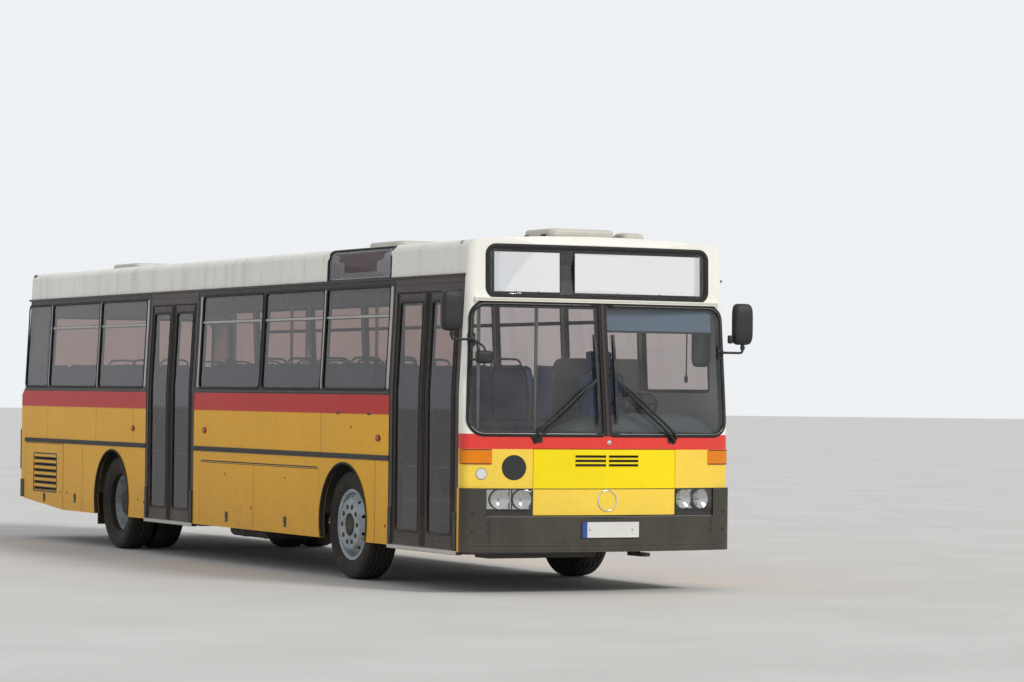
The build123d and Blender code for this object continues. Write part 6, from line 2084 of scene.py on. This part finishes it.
def rail_fittings(saloon):
    """Sockets and crosses of the grab rails, stop buttons on every second pole, hangers under the roof."""
    for n, (x, y) in enumerate(POLES):
        socket = [(0.0, 0.0), (0.0, 0.042), (0.008, 0.040), (0.014, 0.022), (0.030, 0.021), (0.030, 0.0)]
        saloon.head(socket, ((x, y, FLOOR_Z), Z_AXIS), 2, 20)
        for z, axis, r in ((2.590, Z_AXIS, 0.021), (2.620, Y_AXIS, 0.022)):
            saloon.head([(-0.030, 0.0), (-0.030, r), (0.030, r), (0.030, 0.0)], ((x, y, z), axis), 2)
        if n % 2:
            saloon.box(around(x, 0.026), around(y, 0.028), (1.860, 1.960), 3, 0.012, 3)
            button = [(-0.002, 0.0), (-0.002, 0.014), (0.004, 0.012), (0.005, 0.0)]
            saloon.head(button, ((x, y - 0.028, 1.915), (0, -1, 0)), 4, 18)
    for s in (-1, 1):
        for y in HANGERS_Y:
            top = on_roof(s * RAIL_X_INSIDE, y, -0.040)[0].z
            flange = [(-0.010, 0.0), (-0.010, 0.030), (0.001, 0.034), (0.001, 0.0)]
            saloon.head(flange, ((s * RAIL_X_INSIDE, y, top), Z_AXIS), 2, 18)


def gear_covers(saloon):
    """Covers of the door gear over both doorways, and the trim of the driver's partition."""
    for door, first, last in DOORS:
        saloon.box((-1.150, -0.985), (first + 0.03, last - 0.03), (2.560, 2.790), 0, 0.030, 3)
        for y in (first + 0.20, last - 0.20):
            screw = [(-0.002, 0.0), (-0.002, 0.012), (0.003, 0.010), (0.003, 0.0)]
            saloon.head(screw, ((-0.985, y, 2.680), X_AXIS), 2)
    upright_edge = [(0.330, PARTITION_Y, z) for z in (0.742, 1.20, 1.84)]
    top_edge = [(x, PARTITION_Y, 1.950) for x in (0.43, 0.80, 1.16)]
    for edge, normal in ((upright_edge, (-1, 0, 0)), (top_edge, Z_AXIS)):
        saloon.trim(fixed(normal, *edge), flat(0.030, 0.004, -0.002), 2)


def saloon_fittings():
    saloon = Piece()
    for make in (ceiling_lights, rail_fittings, gear_covers):
        make(saloon)
    finishes = ["pale_plastic", "light_cover", "steel", "black_plastic", "red_lens"]
    saloon.build("saloon_fittings", finishes, slot="bumper grey", sharp=40)


cab_fittings()
saloon_fittings()

# stage and light
STAGE_REACH, SKY_LIGHT, SUN_LIGHT, SUN_FROM = 300, 0.54, 1.72, (0.30, -0.80, 0.62)


def stage_floor():
    mesh = mesh_of("floor", [(x, y, 0) for x, y in ((-STAGE_REACH, -STAGE_REACH), (STAGE_REACH, -STAGE_REACH),
                                                    (STAGE_REACH, STAGE_REACH), (-STAGE_REACH, STAGE_REACH))],
                   [(0, 1, 2, 3)])
    f = Finish("floor_pale", specular=0.2)
    patches = f.spread(f.noise(0.6, 5.0), 0.35, 0.7)
    f.put("Base Color", f.blend(patches, (0.68, 0.67, 0.65, 1), (0.74, 0.73, 0.71, 1)))
    f.uneven(3.0, 0.75, 0.9)
    mesh.materials.append(f.material)
    linked("floor", mesh)


def studio_world():
    """Soft light from all round, which the camera, mirrors and glass see as a pale wall."""
    world = bpy.data.worlds.new("studio")
    SCENE.world = world
    world.use_nodes = True
    tree = world.node_tree
    tree.nodes.clear()

    def node(kind, *links):
        made = tree.nodes.new(kind)
        for place, output in enumerate(links):
            tree.links.new(output, made.inputs[place])
        return made

    rays = node("ShaderNodeLightPath").outputs
    either = node("ShaderNodeMath", rays["Is Glossy Ray"], rays["Is Transmission Ray"])
    seen = node("ShaderNodeMath", rays["Is Camera Ray"], either.outputs[0])
    either.operation = seen.operation = "MAXIMUM"
    pale, light = node("ShaderNodeBackground"), node("ShaderNodeBackground")
    pale.inputs["Color"].default_value = (0.86, 0.88, 0.90, 1)
    light.inputs["Color"].default_value = (0.93, 0.96, 1.0, 1)
    light.inputs["Strength"].default_value = SKY_LIGHT
    mix = node("ShaderNodeMixShader", seen.outputs[0], light.outputs[0], pale.outputs[0])
    node("ShaderNodeOutputWorld", mix.outputs[0])


def sun():
    key = linked("key", bpy.data.lights.new("key", "SUN"))
    key.data.energy = SUN_LIGHT
    key.data.angle = radians(14)
    key.data.color = (1.0, 0.97, 0.92)
    key.rotation_euler = Vector(SUN_FROM).to_track_quat("Z", "Y").to_euler()


stage_floor()
studio_world()
sun()
